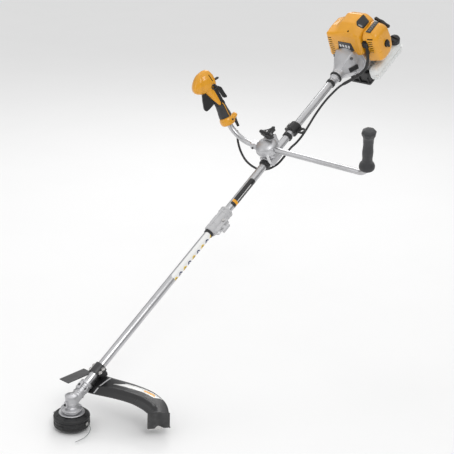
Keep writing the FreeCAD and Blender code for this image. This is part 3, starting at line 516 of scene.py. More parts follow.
def area_light(name, at, target, size, watts):
    """A square soft light at a point, aimed at another."""
    data = bpy.data.lights.new(name, "AREA")
    data.size = size
    data.energy = watts
    made = bpy.data.objects.new(name, data)
    made.location = at
    made.rotation_euler = (Vector(target) - Vector(at)).to_track_quat("-Z", "Y").to_euler()
    bpy.context.scene.collection.objects.link(made)


def surround():
    """A white backdrop whose light on the object is brightest overhead and grey at the sides."""
    world = bpy.data.worlds.new("studio")
    world.use_nodes = True
    tree = world.node_tree
    background = tree.nodes["Background"]
    place = tree.nodes.new("ShaderNodeTexCoord")
    split = tree.nodes.new("ShaderNodeSeparateXYZ")
    tree.links.new(place.outputs["Generated"], split.inputs["Vector"])
    overhead = spread(tree, split.outputs["Z"], 0.10, 0.95, -0.05, 0.75)
    path = tree.nodes.new("ShaderNodeLightPath")
    seen = tree.nodes.new("ShaderNodeMix")
    tree.links.new(path.outputs["Is Camera Ray"], seen.inputs["Factor"])
    tree.links.new(overhead, seen.inputs[2])
    seen.inputs[3].default_value = 1.0
    background.inputs["Color"].default_value = (1.0, 1.0, 1.0, 1.0)
    tree.links.new(seen.outputs[0], background.inputs["Strength"])
    bpy.context.scene.world = world


def studio():
    """A pale floor under the head, a white surround and three soft lights."""
    data = bpy.data.meshes.new("floor")
    reach = 60.0
    data.from_pydata([(-reach, -reach, 0), (reach, -reach, 0), (reach, reach, 0), (-reach, reach, 0)], [],
                     [(0, 1, 2, 3)])
    floor = bpy.data.objects.new("floor", data)
    floor.location.z = -0.0005
    bpy.context.scene.collection.objects.link(floor)
    finish, tree, shader, place = new_finish("floor_paint")
    tree.links.new(blended(tree, noise(tree, place, 3.0), (0.90, 0.90, 0.90), (0.88, 0.88, 0.88)),
                   shader.inputs["Base Color"])
    shader.inputs["Roughness"].default_value = 0.9
    data.materials.append(finish)
    surround()
    middle = (0.65, 0.0, 0.5)
    area_light("key", (-1.2, -2.6, 3.2), middle, 1.6, 42)
    area_light("fill", (-2.6, 1.8, 1.6), middle, 2.0, 14)
    area_light("rim", (2.6, 1.6, 2.8), middle, 1.4, 28)
    bpy.context.scene.view_settings.view_transform = "Standard"


camera()
studio()


# ---------------------------------------------------------------- cords and cable

def smooth_curve(name, route, place, radius, finish):
    """A smooth line with the route's points as its control points, and a round section."""
    data = bpy.data.curves.new(name, "CURVE")
    data.dimensions = "3D"
    data.bevel_depth = radius * MM
    data.bevel_resolution = 6
    data.resolution_u = 10
    data.use_fill_caps = True
    spline = data.splines.new("NURBS")
    points = placed(route, place)
    spline.points.add(len(points) - 1)
    spline.points.foreach_set("co", np.column_stack([points, np.ones(len(points))]).ravel())
    spline.order_u = 3
    spline.use_endpoint_u = True
    data.materials.append(finish)
    made = bpy.data.objects.new(name, data)
    bpy.context.scene.collection.objects.link(made)
    return made


line_route = [(49, 0, 27), (62, -1, 26), (74, -9, 23), (80, -23, 18), (81, -40, 13), (76, -58, 9),
              (66, -74, 6)]
line_diameter = 2.4
for name, half_turn in (("cutting_line_front", 0), ("cutting_line_rear", 180)):
    place = turn("z", half_turn) @ EYELETS
    free_end = smooth_curve(name + "_end", line_route, place, line_diameter / 2, nylon)
    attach(free_end, "head")
    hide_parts(name)

# stations along the cable, across and up, in the frame of the shaft
cable_route = [
    (1086, 151, 50), (1075, 146, 38), (1056, 134, 26), (1034, 112, 12), (1018, 87, -6), (1012, 60, -21),
    (1014, 33, -31), (1030, 8, -36), (1055, -13, -32), (1086, -23, -24), (1122, -25, -20), (1160, -24, -27),
    (1200, -22, -29), (1244, -20, -24), (1296, -17, -19), (1352, -16, -17), (1402, -18, -19),
    (1434, -27, -17), (1464, -45, -16), (1494, -64, -13), (1518, -79, -4), (1531, -86, 13),
    (1545, -85, 31), (1557, -80, 45),
    (1561, -78, 57.2)]
cable_radius = 3.7


def throttle_cable():
    """The cable's sheath: a smooth line made a mesh."""
    line = smooth_path(cable_route, 900)
    travel = np.concatenate([[0.0], np.cumsum(np.linalg.norm(np.diff(line, axis=0), axis=1))])
    thick = np.clip((line[:, 0] - 1440) / 8, 0, 1) * np.clip((56 - line[:, 2]) / 6, 0, 1)
    girth = cable_radius + thick * (1.7 + 0.45 * np.cos(travel * 2 * math.pi / 4.2))
    skin = carried(line, disc_section(1.0, 16), scale=girth)
    sheath = smooth_object("cable_sheath", skin, SHAFT, soft_rubber)
    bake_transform(sheath)
    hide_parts("throttle_cable")


def bump_coil():
    """The spring behind the bump knob, a helix (r cos t, r sin t, z)."""
    turns, radius, wire, low, high = 7, 13.6, 1.0, 21.4, 44.2
    step = np.linspace(0, 1, turns * 40 + 1)
    angle = step * turns * 2 * math.pi
    line = np.stack([radius * np.cos(angle), radius * np.sin(angle), low + (high - low) * step], axis=1)
    coil = smooth_object("bump_coil", carried(line, disc_section(wire, 12)), HEAD, machined)
    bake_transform(coil)
    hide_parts("bump_spring")


throttle_cable()
bump_coil()


# ---------------------------------------------------------------- line head and gear case

def line_head():
    """Spool housing with an upper and a lower rim, a ribbed waist, a slotted cover and the bump knob."""
    top, rim = head_height, head_radius

    def finger_grips(angle, station):
        """Eighteen shallow scallops round the waist between the two rims."""
        waist = np.exp(-((station - 27) / 4.5) ** 2)
        return 1 - 0.022 * waist * (0.5 + 0.5 * np.cos(18 * angle))

    housing = revolved([
        (22, rim - 3.5), (top - 3.5, rim - 3.5), (top - 3.5, 12), (top - 9, 12), (top - 9, 5.1), (top, 5.1),
        (top, 30), (top - 1.2, 40), (top - 3.5, rim - 5), (top - 6.5, rim - 0.6), (top - 9.5, rim),
        (37.5, rim), (36.6, rim - 2.4), (34.4, rim - 2.4), (33.5, rim - 0.4), (31, rim - 0.2),
        (30, rim - 1.6), (24.5, rim - 1.6), (23.6, rim), (22, rim)],
        segments=144, ease=0.7, ripple=finger_grips)
    ribs = [moved(soft_box((30, -1.6, top - 2.2), (47, 1.6, top - 0.6), 0.7), turn("z", 45 * k + 22))
            for k in range(8)]
    piece("spool_shell", [housing] + ribs, HEAD, "head", black, ["spool_housing"])
    cover = revolved([
        (9, 34.5), (8.2, 40), (8.6, rim - 6), (11, rim - 2), (13.5, rim - 0.6), (16, rim - 0.3),
        (16.6, rim - 1.6), (18.4, rim - 1.6), (19, rim - 0.4), (21.7, rim - 0.4), (21.7, rim - 4),
        (12, rim - 4), (12, 34.5)], segments=144, ease=0.6)
    latches = [moved(soft_box((rim - 2.2, -7, 13), (rim + 0.5, 7, 25), 1.1), turn("z", 180 * k + 12))
               for k in range(2)]
    piece("spool_cover", [cover] + latches, HEAD, "head", black, ["head_cover"])

    def knob_flutes(angle, station):
        """Ten flutes on the side of the knob, fading out at its flat bottom."""
        side = np.clip((station - 1.5) / 3, 0, 1) * (station < 12.4)
        return 1 - 0.045 * side * np.clip(np.cos(10 * angle), 0, 1) ** 2

    knob = revolved([
        (0, 0), (0, 22), (0.8, 26), (3, 30.5), (8, 32.6), (12.2, 33), (12.3, 45), (15, 45), (15, 22),
        (36, 22), (36, 45), (38.5, 45), (38.5, 16), (20, 16), (20, 0)],
        segments=120, ease=0.8, ripple=knob_flutes)
    piece("bump_knob", [knob], HEAD, "spool", black, ["line_spool"])
    eyelet = revolved([
        (rim - 4.5, 1.6), (rim - 4.5, 3.7), (rim - 0.4, 3.7), (rim, 5.4), (rim + 1.2, 5.6), (rim + 2, 4.4),
        (rim + 2, 2.6), (rim + 0.6, 1.6)], axis="x", ease=0.4, segments=40)
    piece("eyelets", [moved(eyelet, shift(z=27)), moved(eyelet, turn("z", 180), shift(z=27))],
          EYELETS, "head", machined, ["line_eyelets"])


def gear_case():
    """Cast angle gearbox: an upright barrel, the tube socket with clamp rings, a lug, flange and screws."""
    top, gear = head_height, gear_height
    barrel = revolved([
        (top + 11, 0), (top + 11, 31), (top + 13, 32), (top + 16.5, 32), (top + 18, 27), (top + 20, 20.5),
        (gear - 10, 18.4), (gear - 4, 18.8), (gear - 3, 19.6), (gear + 1, 19.6), (gear + 2, 18.8),
        (gear + 18, 18.4), (gear + 20, 19.4), (gear + 23.5, 19), (gear + 25, 15.5), (gear + 26, 10),
        (gear + 27, 6), (gear + 27, 0)], segments=96, ease=1.1)
    socket = revolved([
        (6, 0), (6, 17), (30, 17), (31, 18.6), (35, 18.6), (36, 17.2), (52, 17.2), (53, 18.6), (57, 18.6),
        (58, 17.2), (66, 17.2), (67, 19.4), (74, 19.4), (74, 13.1), (38, 13.1), (38, 0)],
        axis="x", segments=96, ease=0.8)
    clamp = soft_box((40, -7, 14), (64, 7, 23), 2.2)
    ears = [soft_box((44, side * 15 - 5, -7), (62, side * 15 + 5, 7), 2.4) for side in (-1, 1)]
    lug = soft_box((-25, -6.5, gear - 10), (-8, 6.5, gear + 9), 2.6)
    ridge = [moved(soft_box((17, -1.3, top + 16), (30, 1.3, top + 21), 1.0), turn("z", 60 * k + 30))
             for k in range(6)]
    tilt = shift(z=gear) @ turn("y", -slope)
    piece("gear_housing", [barrel, lug] + ridge + [moved(part, tilt) for part in [socket, clamp] + ears],
          HEAD, "lower_shaft", cast, ["gear_case"])
    bolts = [screw((53, y, 7), tilt, 3.4, 2.6) for y in (-16, 16)]
    bolts.append(screw((52, 0, 22), tilt, 3.8, 3.0))
    plug = revolved([(0, 0), (0, 4.6), (2.4, 4.6), (2.4, 2.4), (1.2, 2.4), (1.2, 0)], segments=6, ease=0.2)
    bolts.append(moved(plug, shift(-24.5, 0, gear), turn("y", -90)))
    piece("gear_case_screws", bolts, HEAD, "lower_shaft", dark_steel)
    flange = revolved([
        (top + 0.3, 5.1), (top + 0.3, 36.5), (top + 1, 38), (top + 3.4, 38), (top + 4.4, 36),
        (top + 4.8, 30), (top + 5.2, 26), (top + 9.8, 25.4), (top + 10.7, 24), (top + 10.7, 5.1)],
        segments=96, ease=0.5)
    piece("flange_disc", [flange], HEAD, "head", cast, ["blade_flange"])


line_head()
gear_case()


# ---------------------------------------------------------------- guard

guard_finish = moulded("guard_plastic", (0.014, 0.014, 0.015), (0.10, 0.10, 0.10), roughness=(0.26, 0.38),
                       grain=500.0, relief=0.00005)
decal_silver = metal("silver_print", (0.62, 0.62, 0.61), roughness=(0.3, 0.4))
guard_stations = [
    # inner edge, outer edge, depth of the skirt
    ((60, 32, 95), (138, 44, 127), 8), ((60, -12, 95), (138, -12, 127), 12),
    ((84, -84, 96), (176, -88, 112), 26), ((106, -136, 90), (196, -146, 99), 36),
    ((112, -178, 84), (190, -200, 88), 44), ((110, -208, 78), (160, -246, 78), 48)]


def guard_rows(count):
    """Inner edges, outer edges and depths along the guard, each a smooth line through its stations."""
    inner = smooth_path([row[0] for row in guard_stations], count)
    outer = smooth_path([row[1] for row in guard_stations], count)
    depth = smooth_path([(row[2], 0, 0) for row in guard_stations], count)[:, :1]
    return inner, outer, depth


def guard_shell():
    """A crowned sheet from the inner to the outer edge that rolls over into a skirt.

    Across, the sheet rises as a sine to a low crown, with a raised ridge along its inner third; then a
    quarter round leads into the skirt, which goes straight down. It is closed by an offset inner sheet.
    """
    count, wall, roll = 72, 2.6, 9.0
    inner, outer, depth = guard_rows(count)
    along = np.linspace(0, 1, count)[:, None]
    across = np.linspace(0, 1, 26)
    width = np.linalg.norm(outer - inner, axis=1, keepdims=True)
    level = (outer - inner) * [1, 1, 0]
    level /= np.linalg.norm(level, axis=1, keepdims=True)
    up = np.array([0.0, 0.0, 1.0])
    sheet = inner[:, None] + (outer - inner)[:, None] * across[None, :, None] * (1 - roll / width)[:, None]
    crown = 5.0 * np.sin(math.pi * across)[None]
    fade = np.clip((along - 0.18) / 0.1, 0, 1) * np.clip((0.97 - along) / 0.08, 0, 1)
    ridge_at = 0.30 + 0.16 * along
    ridge = 5.0 * fade / (1 + np.exp((np.abs(across[None] - ridge_at) - 0.07) * 90))
    sheet[..., 2] += crown + ridge
    turn_down = np.linspace(0, math.pi / 2, 6)[1:]
    edge = sheet[:, -1]
    round_over = (edge[:, None] + level[:, None] * (roll * np.sin(turn_down))[None, :, None]
                  - up * (roll * (1 - np.cos(turn_down)))[None, :, None])
    drop = np.linspace(0, 1, 7)[1:]
    skirt = round_over[:, -1:] - up * (np.maximum(depth - roll, 1.0)[:, None] * drop[None, :, None])
    lip = skirt[:, -1:] + level[:, None] * 1.6 - up * 0.2
    outside = np.concatenate([sheet, round_over, skirt, lip], axis=1)
    tangent = np.gradient(outside, axis=1)
    heading = np.gradient(outside, axis=0)
    normal = np.cross(heading, tangent)
    normal /= np.linalg.norm(normal, axis=2, keepdims=True) + 1e-9
    if normal[count // 2, 5, 2] < 0:
        normal = -normal
    inside = outside - normal * wall
    shell = closed_sheet(outside, inside)

    tip_in, tip_out, tip_depth = inner[-1], outer[-1], guard_stations[-1][2]
    span = np.linspace(0, 1, 24)
    back = np.array([-2.0, 2.6, 0.0])
    wave = 2.2 * np.sin(span * math.pi * 3)[:, None] * np.array([0.6, -0.8, 0])
    top_line = tip_in + (tip_out - tip_in) * span[:, None] + wave
    cut_away = np.where(np.abs(span - 0.5) < 0.22, 8.0, 0.0)
    notch = cut_away * np.sin(np.clip((span - 0.28) / 0.44, 0, 1) * math.pi)
    low_line = top_line - up * (tip_depth - notch)[:, None]
    rise = up * (3.0 * np.sin(math.pi * span))[:, None]
    wall_end = lofted(np.stack([top_line + rise, low_line, low_line + back, top_line + back + rise], axis=1))
    ribs = []
    for row in range(14, count - 6, 12):
        rail = inside[row, 4:-6] - up * 0.4
        low = rail - up * 6.0
        thick = heading[row, 5] / np.linalg.norm(heading[row, 5]) * 1.0
        ribs.append(lofted(np.stack([rail - thick, rail + thick, low + thick, low - thick], axis=1)))
    piece("guard_shell", [shell, wall_end] + ribs, HEAD, "lower_shaft", guard_finish, ["guard"],
          sharp=38)
    return outside, normal


def sheet_patch(surface, normal, corners, lift, rows=28, columns=10):
    """A thin plate that lies on a grid surface: corners are (row, column) shares, joined two by two."""
    start_low, start_high, end_high, end_low = (np.asarray(corner, float) for corner in corners)
    u = np.linspace(0, 1, rows)[:, None, None]
    v = np.linspace(0, 1, columns)[None, :, None]
    where = ((1 - u) * ((1 - v) * start_low + v * start_high) + u * ((1 - v) * end_low + v * end_high))
    size = np.array(surface.shape[:2]) - 1
    spot = np.clip(where, 0, 0.9999) * size
    base = spot.astype(int)
    share = spot - base

    def read(field):
        """The field between its four nearest grid points, weighted by how near each is."""
        row, column = base[..., 0], base[..., 1]
        near = field[row, column] * (1 - share[..., 1:]) + field[row, column + 1] * share[..., 1:]
        far = field[row + 1, column] * (1 - share[..., 1:]) + field[row + 1, column + 1] * share[..., 1:]
        return near * (1 - share[..., :1]) + far * share[..., :1]

    low = read(surface) - read(normal) * 0.3
    return closed_sheet(low + read(normal) * (lift + 0.3), low)


def guard():
    """The shell, its printed stripes and its seam line."""
    surface, normal = guard_shell()
    silver = sheet_patch(surface, normal, [(0.30, 0.44), (0.36, 0.56), (0.74, 0.66), (0.70, 0.52)], 0.25)
    white = sheet_patch(surface, normal, [(0.36, 0.575), (0.36, 0.60), (0.76, 0.70), (0.76, 0.675)], 0.25)
    piece("guard_stripe", [silver, white], HEAD, "lower_shaft", decal_silver)
    flash = sheet_patch(surface, normal, [(0.56, 0.535), (0.53, 0.60), (0.66, 0.64), (0.70, 0.57)], 0.4)
    piece("guard_flash", [flash], HEAD, "lower_shaft", amber)
    seam = sheet_patch(surface, normal, [(0.235, 0.02), (0.235, 0.72), (0.245, 0.72), (0.245, 0.02)], 0.5)
    piece("guard_seam", [seam], HEAD, "lower_shaft", light_plastic)


def guard_fittings():
    """The clamp's bolts and washers on the tube."""
    tilt = shift(z=gear_height) @ turn("y", -slope)
    parts = []
    for along, y in ((118, -20), (132, -20), (118, 20), (132, 20)):
        parts.append(screw((along, y, 5), tilt, 4.6, 3.4))
        washer = revolved([(0, 0), (0, 6.5), (1, 6.5), (1, 0)], ease=0.2, segments=32)
        parts.append(moved(washer, tilt, shift(along, y, 4.6)))
    piece("guard_bolts", parts, HEAD, "lower_shaft", machined)


guard()
guard_fittings()


# ---------------------------------------------------------------- tubes and what is clamped on them

def tubes():
    """Drawn tubes with a faint rounded lip at each end."""
    wall = 1.5
    for name, node, body, start, end in (
            ("shaft_lower", "lower_tube", "lower_shaft", 38.3, split_station - 0.5),
            ("shaft_upper", "upper_tube", "root", split_station + 0.5, engine_station - 45)):
        shell = revolved([(start, tube_radius - wall), (start, tube_radius), (end, tube_radius),
                          (end, tube_radius - wall)], axis="x", ease=0.4, segments=64)
        piece(name, [shell], SHAFT, body, tube_metal, [node])


def wrapped_label(name, start, end, from_angle, to_angle, finish, body):
    """A thin label bent round the tube: (station, r cos a, r sin a), narrowed in a round at its ends."""
    rows, columns, radius, thickness = 40, 24, tube_radius + 0.15, 0.2
    u, v = np.meshgrid(np.linspace(0, 1, rows), np.linspace(0, 1, columns), indexing="ij")
    towards_end = np.clip(np.abs(u - 0.5) * 2 * 20 - 19, 0, 1)
    inset = 0.08 * (1 - np.sqrt(np.clip(1 - towards_end ** 2, 0, 1)))
    angle = np.radians(from_angle + (to_angle - from_angle) * (v * (1 - 2 * inset) + inset))
    station = start + (end - start) * u
    layers = [np.stack([station, r * np.cos(angle), r * np.sin(angle)], axis=-1)
              for r in (radius, radius - thickness)]
    piece(name, [closed_sheet(*layers)], SHAFT, body, finish)


def along_shaft(tree, place):
    """Object coordinates turned into the shaft's own: x along the tube, in metres, y across."""
    mapping = tree.nodes.new("ShaderNodeMapping")
    mapping.vector_type = "POINT"
    mapping.inputs["Location"].default_value = (-gear_height * MM * math.sin(math.radians(slope)), 0,
                                                -gear_height * MM * math.cos(math.radians(slope)))
    mapping.inputs["Rotation"].default_value = (0, math.radians(slope), 0)
    tree.links.new(place, mapping.inputs["Vector"])
    split = tree.nodes.new("ShaderNodeSeparateXYZ")
    tree.links.new(mapping.outputs["Vector"], split.inputs["Vector"])
    return split.outputs


def arithmetic(tree, operation, first, second=None):
    """One step of arithmetic on sockets or numbers."""
    node = tree.nodes.new("ShaderNodeMath")
    node.operation = operation
    for socket, value in zip(node.inputs, (first, second)):
        if value is None:
            continue
        if isinstance(value, (int, float)):
            socket.default_value = value
        else:
            tree.links.new(value, socket)
    return node.outputs[0]


def pictogram_print():
    """White label with a row of round and square signs, yellow and dark blue by turns, without letters."""
    finish, tree, shader, place = new_finish("pictogram_print")

    def step(operation, first, second=None):
        """One step of arithmetic in this finish."""
        return arithmetic(tree, operation, first, second)

    station, across, height = along_shaft(tree, place)
    pitch, disc_size, core_size, bar_half = 0.0235, 0.0088, 0.0050, 0.0018
    cell = step("DIVIDE", station, pitch)
    number = step("FLOOR", cell)
    offset = step("MULTIPLY", step("SUBTRACT", step("SUBTRACT", cell, number), 0.5), pitch)
    bearing = step("ARCTAN2", step("ADD", height, 0.006), step("MULTIPLY", across, -1.0))
    around = step("MULTIPLY", bearing, tube_radius * MM)
    distance = step("SQRT", step("ADD", step("POWER", offset, 2.0), step("POWER", around, 2.0)))
    disc = step("LESS_THAN", distance, disc_size)
    core = step("LESS_THAN", distance, core_size)
    bar = step("LESS_THAN", step("ABSOLUTE", step("ADD", offset, around)), bar_half)
    odd = step("GREATER_THAN", step("MODULO", number, 2.0), 0.5)
    sign = blended(tree, odd, (0.010, 0.022, 0.10), (0.82, 0.55, 0.02))
    inner = blended(tree, odd, (0.80, 0.80, 0.78), (0.015, 0.03, 0.12))
    colour = blended(tree, disc, (0.86, 0.86, 0.85), sign)
    colour = blended(tree, core, colour, inner)
    colour = blended(tree, step("MULTIPLY", bar, core), colour, sign)
    tree.links.new(colour, shader.inputs["Base Color"])
    tree.links.new(spread(tree, noise(tree, place, 60.0), 0.25, 0.36), shader.inputs["Roughness"])
    return finish


def dark_print():
    """Black label with one pale stripe and a short amber bar, without letters."""
    finish, tree, shader, place = new_finish("dark_print")

    def within(value, centre, half):
        """One where a value lies within half of a centre, and nought elsewhere."""
        apart = arithmetic(tree, "ABSOLUTE", arithmetic(tree, "SUBTRACT", value, centre))
        return arithmetic(tree, "LESS_THAN", apart, half)

    station, across, height = along_shaft(tree, place)
    inside = within(station, 0.882, 0.040)
    line = within(height, 0.004, 0.0013)
    stripe = arithmetic(tree, "MULTIPLY", inside, line)
    colour = blended(tree, stripe, (0.012, 0.012, 0.013), (0.72, 0.72, 0.71))
    accent = within(station, 0.838, 0.005)
    tree.links.new(blended(tree, accent, colour, AMBER), shader.inputs["Base Color"])
    tree.links.new(spread(tree, noise(tree, place, 60.0), 0.22, 0.34), shader.inputs["Roughness"])
    shader.inputs["Coat Weight"].default_value = 0.3
    return finish


def coupler():
    """The split clamp: a barrel with end rings and ribs, a bolt boss, a locating pin and the clamp knob."""
    outer = 20
    barrel = revolved([
        (-50, 13.1), (-50, 18), (-46, 20.4), (-30, 20.6), (-29, 19.4), (-22, 19.4), (-21, 20.6), (10, 20.6),
        (12, 19.2), (26, 19.2), (28, 21.6), (34, 21.6), (36, 19.6), (40, 19.6), (41, 21.8), (46, 21.8),
        (50, 18), (50, 13.1)], axis="x", segments=72, ease=0.9)
    ears = [soft_box((-44, -32, -9), (14, -10, -0.7), 2.6), soft_box((-44, -32, 0.7), (14, -10, 9), 2.6)]
    top_rib = soft_box((-38, -3, 15), (40, 3, 22.6), 1.4)
    boss = moved(revolved([(-27, 0), (-27, 8), (-26, 9.2), (-10, 9.2), (-10, 0)], axis="y", segments=48,
                          ease=0.6), shift(-40))
    nut = moved(revolved([(0, 0), (0, 5.4), (5, 5.4), (5, 0)], segments=6, ease=0.3), shift(2, -24, 8.5))
    piece("coupler_clamp", [barrel, top_rib, boss] + ears, COUPLER, "root", light_plastic, ["coupler_body"])
    piece("coupler_nut", [nut], COUPLER, "root", machined)
    face = -outer - 12.3
    stem = moved(revolved([(face - 14, 0), (face - 14, 4), (face - 12, 5.2), (face - 6, 6.4),
                           (face - 5, 7.4), (face - 0.4, 7.4), (face, 6.6), (face, 3), (-16.5, 3),
                           (-16.5, 0)],
                          axis="y", segments=48, ease=0.5), shift(-16))
    lever = soft_box((-33, face - 16, -5), (1, face - 8.5, 5), 2.6)
    piece("coupler_wing", [stem, lever], COUPLER, "coupler_knob", light_plastic, ["coupler_knob"])


def straps_and_clips():
    """Rubber bands round the tube, each a rounded ring with a raised buckle, and the harness clamp."""
    rings = []
    for start, width, radius in (
            (split_station - 59, 8, 15.5), (handle_station - 46, 10, 16), (harness_station - 44, 12, 16.5),
            (engine_station - 130, 10, 16)):
        end = start + width
        rings.append(revolved([(start, 13.05), (start, radius), (end, radius), (end, 13.05)], axis="x",
                              ease=0.9, segments=56))
        rings.append(soft_box((start + 1, -6, radius - 1.2), (start + width - 1, 6, radius + 1.6), 1.0))
    collar = engine_station - 94
    rings.append(revolved([(collar + 1, 13.05), (collar + 1, 21.4), (collar + 2, 22.4), (collar + 4.4, 22.4),
                           (collar + 5.4, 21.4), (collar + 5.4, 13.05)], axis="x", ease=0.7, segments=56))
    piece("cable_straps", rings, SHAFT, "root", soft_rubber, ["tube_bands"])
    step = revolved([(collar - 18, 13.05), (collar - 18, 15), (collar - 9, 15.4), (collar - 8, 17.4),
                     (collar + 0.4, 17.6), (collar + 0.4, 13.05)], axis="x", ease=0.7, segments=56)
    piece("neck_sleeve", [step], SHAFT, "root", cast)
    ring = revolved([(-18, 13.1), (-18, 19), (-16, 20.5), (16, 20.5), (18, 19), (18, 13.1)], axis="x",
                    ease=0.9, segments=64)
    flaps = [soft_box((-16, 10, -8), (16, 27, -0.8), 2.0), soft_box((-16, 10, 0.8), (16, 27, 8), 2.0)]
    eye = revolved([(-3, 6), (-3, 12.4), (3, 12.4), (3, 6)], axis="z", ease=0.8, segments=48)
    hooked = moved(eye, shift(0, -35))
    points, quads = soft_box((-12, -30, -3), (12, -14, 3), 1.4)
    points[:, 1] = np.maximum(points[:, 1], -28.4)
    piece("harness_ring", [ring, hooked, (points, quads)] + flaps, HARNESS, "root", black,
          ["harness_clamp"])
    piece("harness_bolts", [screw((x, 20, 7.6), np.eye(4), 3.6, 2.8) for x in (-9, 9)], HARNESS, "root",
          machined)


tubes()
wrapped_label("pictogram_label", 500, 700, 95, 300, pictogram_print(), "lower_shaft")
wrapped_label("dark_label", 822, 942, 95, 300, dark_print(), "root")
coupler()
straps_and_clips()


# ---------------------------------------------------------------- handlebar, grips and bracket

def handlebar():
    """One bent tube: straight runs and circular bends sampled by angle, with flat ends."""
    def bend(side, reach, radius, angle, straight):
        """One arm from its bend outwards: side * (reach + r sin a) across and r (1 - cos a) up."""
        swing = np.radians(np.linspace(0, angle, 28))
        arc = np.column_stack([np.zeros(28), side * (reach + radius * np.sin(swing)),
                               radius * (1 - np.cos(swing))])
        heading = np.array([0, side * math.cos(swing[-1]), math.sin(swing[-1])])
        return np.vstack([arc, arc[-1] + heading * straight])

    left = bend(-1, left_reach, left_bend, left_angle, 122)
    right = bend(1, right_reach, right_bend, right_angle, 60)
    path = np.vstack([left[::-1], right])
    tube = carried(path, disc_section(bar_radius, 40), up=(1.0, 0.0, 0.0))
    piece("bar_tube", [tube], BAR, "handlebar", bar_metal, ["handlebar"], sharp=50)


def left_grip():
    """A rubber grip: flared base, a waist with finger swells and long flutes, and a faceted cap."""
    def flutes(angle, station):
        """Fine lengthwise grooves on the hand part and eight facets on the cap."""
        hand = np.clip((station - 22) / 8, 0, 1) * np.clip((108 - station) / 8, 0, 1)
        cap = np.clip((station - 118) / 4, 0, 1)
        facet = np.cos(np.pi / 8) / np.cos((angle % (np.pi / 4)) - np.pi / 8)
        return (1 - 0.03 * hand * (np.cos(24 * angle) > 0.4)) * (1 + cap * (facet - 1) * 0.9)

    outline = [
        (-8, 10.8), (-8, 22), (-5, 24.4), (1, 25), (6, 24), (10, 22.4), (15, 18.6), (20, 16.6), (32, 15.4),
        (46, 16.8), (58, 17.2), (70, 16), (84, 15.6), (96, 16.2), (106, 16.6), (114, 18), (120, 21.4),
        (126, 23), (131, 23), (135, 20.5), (138, 14), (139, 0), (126, 0), (126, 9.6), (2, 9.6)]
    grip = revolved(outline, segments=144, ease=1.6, ripple=flutes)
    piece("rubber_grip", [grip], LEFT_GRIP, "handlebar", grip_rubber, ["left_grip"],
          sharp=40)


def bracket():
    """Cast base on the tube, domed cap with its jaws round the bar, retaining strap, ring and screws."""
    base = revolved([(-30, 13.1), (-30, 17.6), (-28, 19.4), (28, 19.4), (30, 17.6), (30, 13.1)], axis="x",
                    segments=72, ease=0.9)
    pillar = revolved([(10, 0), (10, 26), (14, 26.4), (18, 22.6), (25, 22.6), (28, 28), (31.4, 29),
                       (31.4, 0)], segments=72, ease=1.0)
    lower = soft_box((-27, -27, -13), (27, 27, 13), 5)
    piece("bracket_base", [base, pillar, lower], HANDLE, "root", cast, ["handle_bracket"])
    low = bar_height - bar_radius - 0.7
    dome = revolved([
        (low, 0), (low, 34.5), (low + 3, 36.5), (bar_height + 4, 37), (bar_height + 12, 36),
        (bar_height + 18, 32), (bar_height + 23, 25), (bar_height + 26.4, 15), (bar_height + 28, 6),
        (bar_height + 28, 0)], segments=96, ease=2.2)
    step = revolved([(low + 6, 0), (low + 6, 38), (low + 9, 38.4), (low + 12, 38), (low + 12, 0)],
                    segments=96, ease=0.6)
    side = shift(z=bar_height) @ turn("y", bar_lean)
    jaws = [moved(soft_box((-16, start, -9.5), (16, end, 11.5), 4.5), side)
            for start, end in ((-36, -10), (10, right_reach + 2))]
    shoulder = soft_box((10, -17, low), (46, 17, bar_height + 28), 5.5)
    piece("bracket_cap", [dome, step, shoulder] + jaws, HANDLE, "handlebar", cast, ["handle_cap"])
    bolts = [moved(screw((0, 0, 0), np.eye(4), 3.4, 2.6), side, shift(-15.8, y, -3.5), turn("y", -90))
             for y in (50, 28, -26)]
    piece("bracket_screws", bolts, HANDLE, "handlebar", dark_steel)
    route = [(-28, -22, 44), (-33, -25, 34), (-34, -26, 20), (-30, -22, 6), (-22, -14, -6)]
    strap = carried(smooth_path(route, 30), disc_section(1.0, 16) * [4.6, 1.8], up=(1.0, 0.6, 0.0))
    piece("bracket_strap", [strap], HANDLE, "root", pale_trim)
    ring = revolved([(-43, 13.1), (-43, 17.5), (-41, 18.6), (-33, 18.6), (-31, 17.5), (-31, 13.1)], axis="x",
                    segments=64, ease=0.9)
    piece("bracket_ring", [ring], HANDLE, "root", soft_rubber)


def wing_knob():
    """A three-armed wing knob: arms of an eased outline, rising to their tips, on a round hub."""
    floor = bar_height + 28.3
    arms = []
    for heading, length in ((-112, 33), (-20, 31), (95, 31)):
        path = [(0, 0, 14), (length * 0.35, 0, 14), (length * 0.7, 0, 17), (length, 0, 19)]
        taper = np.concatenate([np.linspace(1.15, 0.95, 20), [0.85, 0.7, 0.5, 0.2]])
        arm = carried(smooth_path(path, 24), disc_section(1.0, 20) * [7.2, 4.2], scale=taper)
        arms.append(moved(arm, shift(z=floor), turn("z", heading)))
    star = []
    for heading, length in ((-112, 31), (-20, 29), (95, 29)):
        for offset, reach in ((-9, length), (9, length), (56, 15)):
            at = math.radians(heading + offset)
            star.append((reach * math.cos(at), reach * math.sin(at)))
    web = prism(eased(star, 6, 5), floor + 7, floor + 17, "xy")
    hub = revolved([(floor, 0), (floor, 11), (floor + 6, 12), (floor + 19, 10), (floor + 22, 7),
                    (floor + 22, 4), (floor + 18, 4), (floor + 18, 0)], segments=60, ease=1.0)
    piece("wing_knob", [hub] + arms + [web], HANDLE @ shift(27), "clamp_knob", black, ["clamp_knob"])
    stud = revolved([(floor + 18, 0), (floor + 18, 3.6), (floor + 22.6, 3.6), (floor + 22.6, 0)], segments=6,
                    ease=0.3)
    piece("knob_nut", [stud], HANDLE @ shift(27), "clamp_knob", machined)


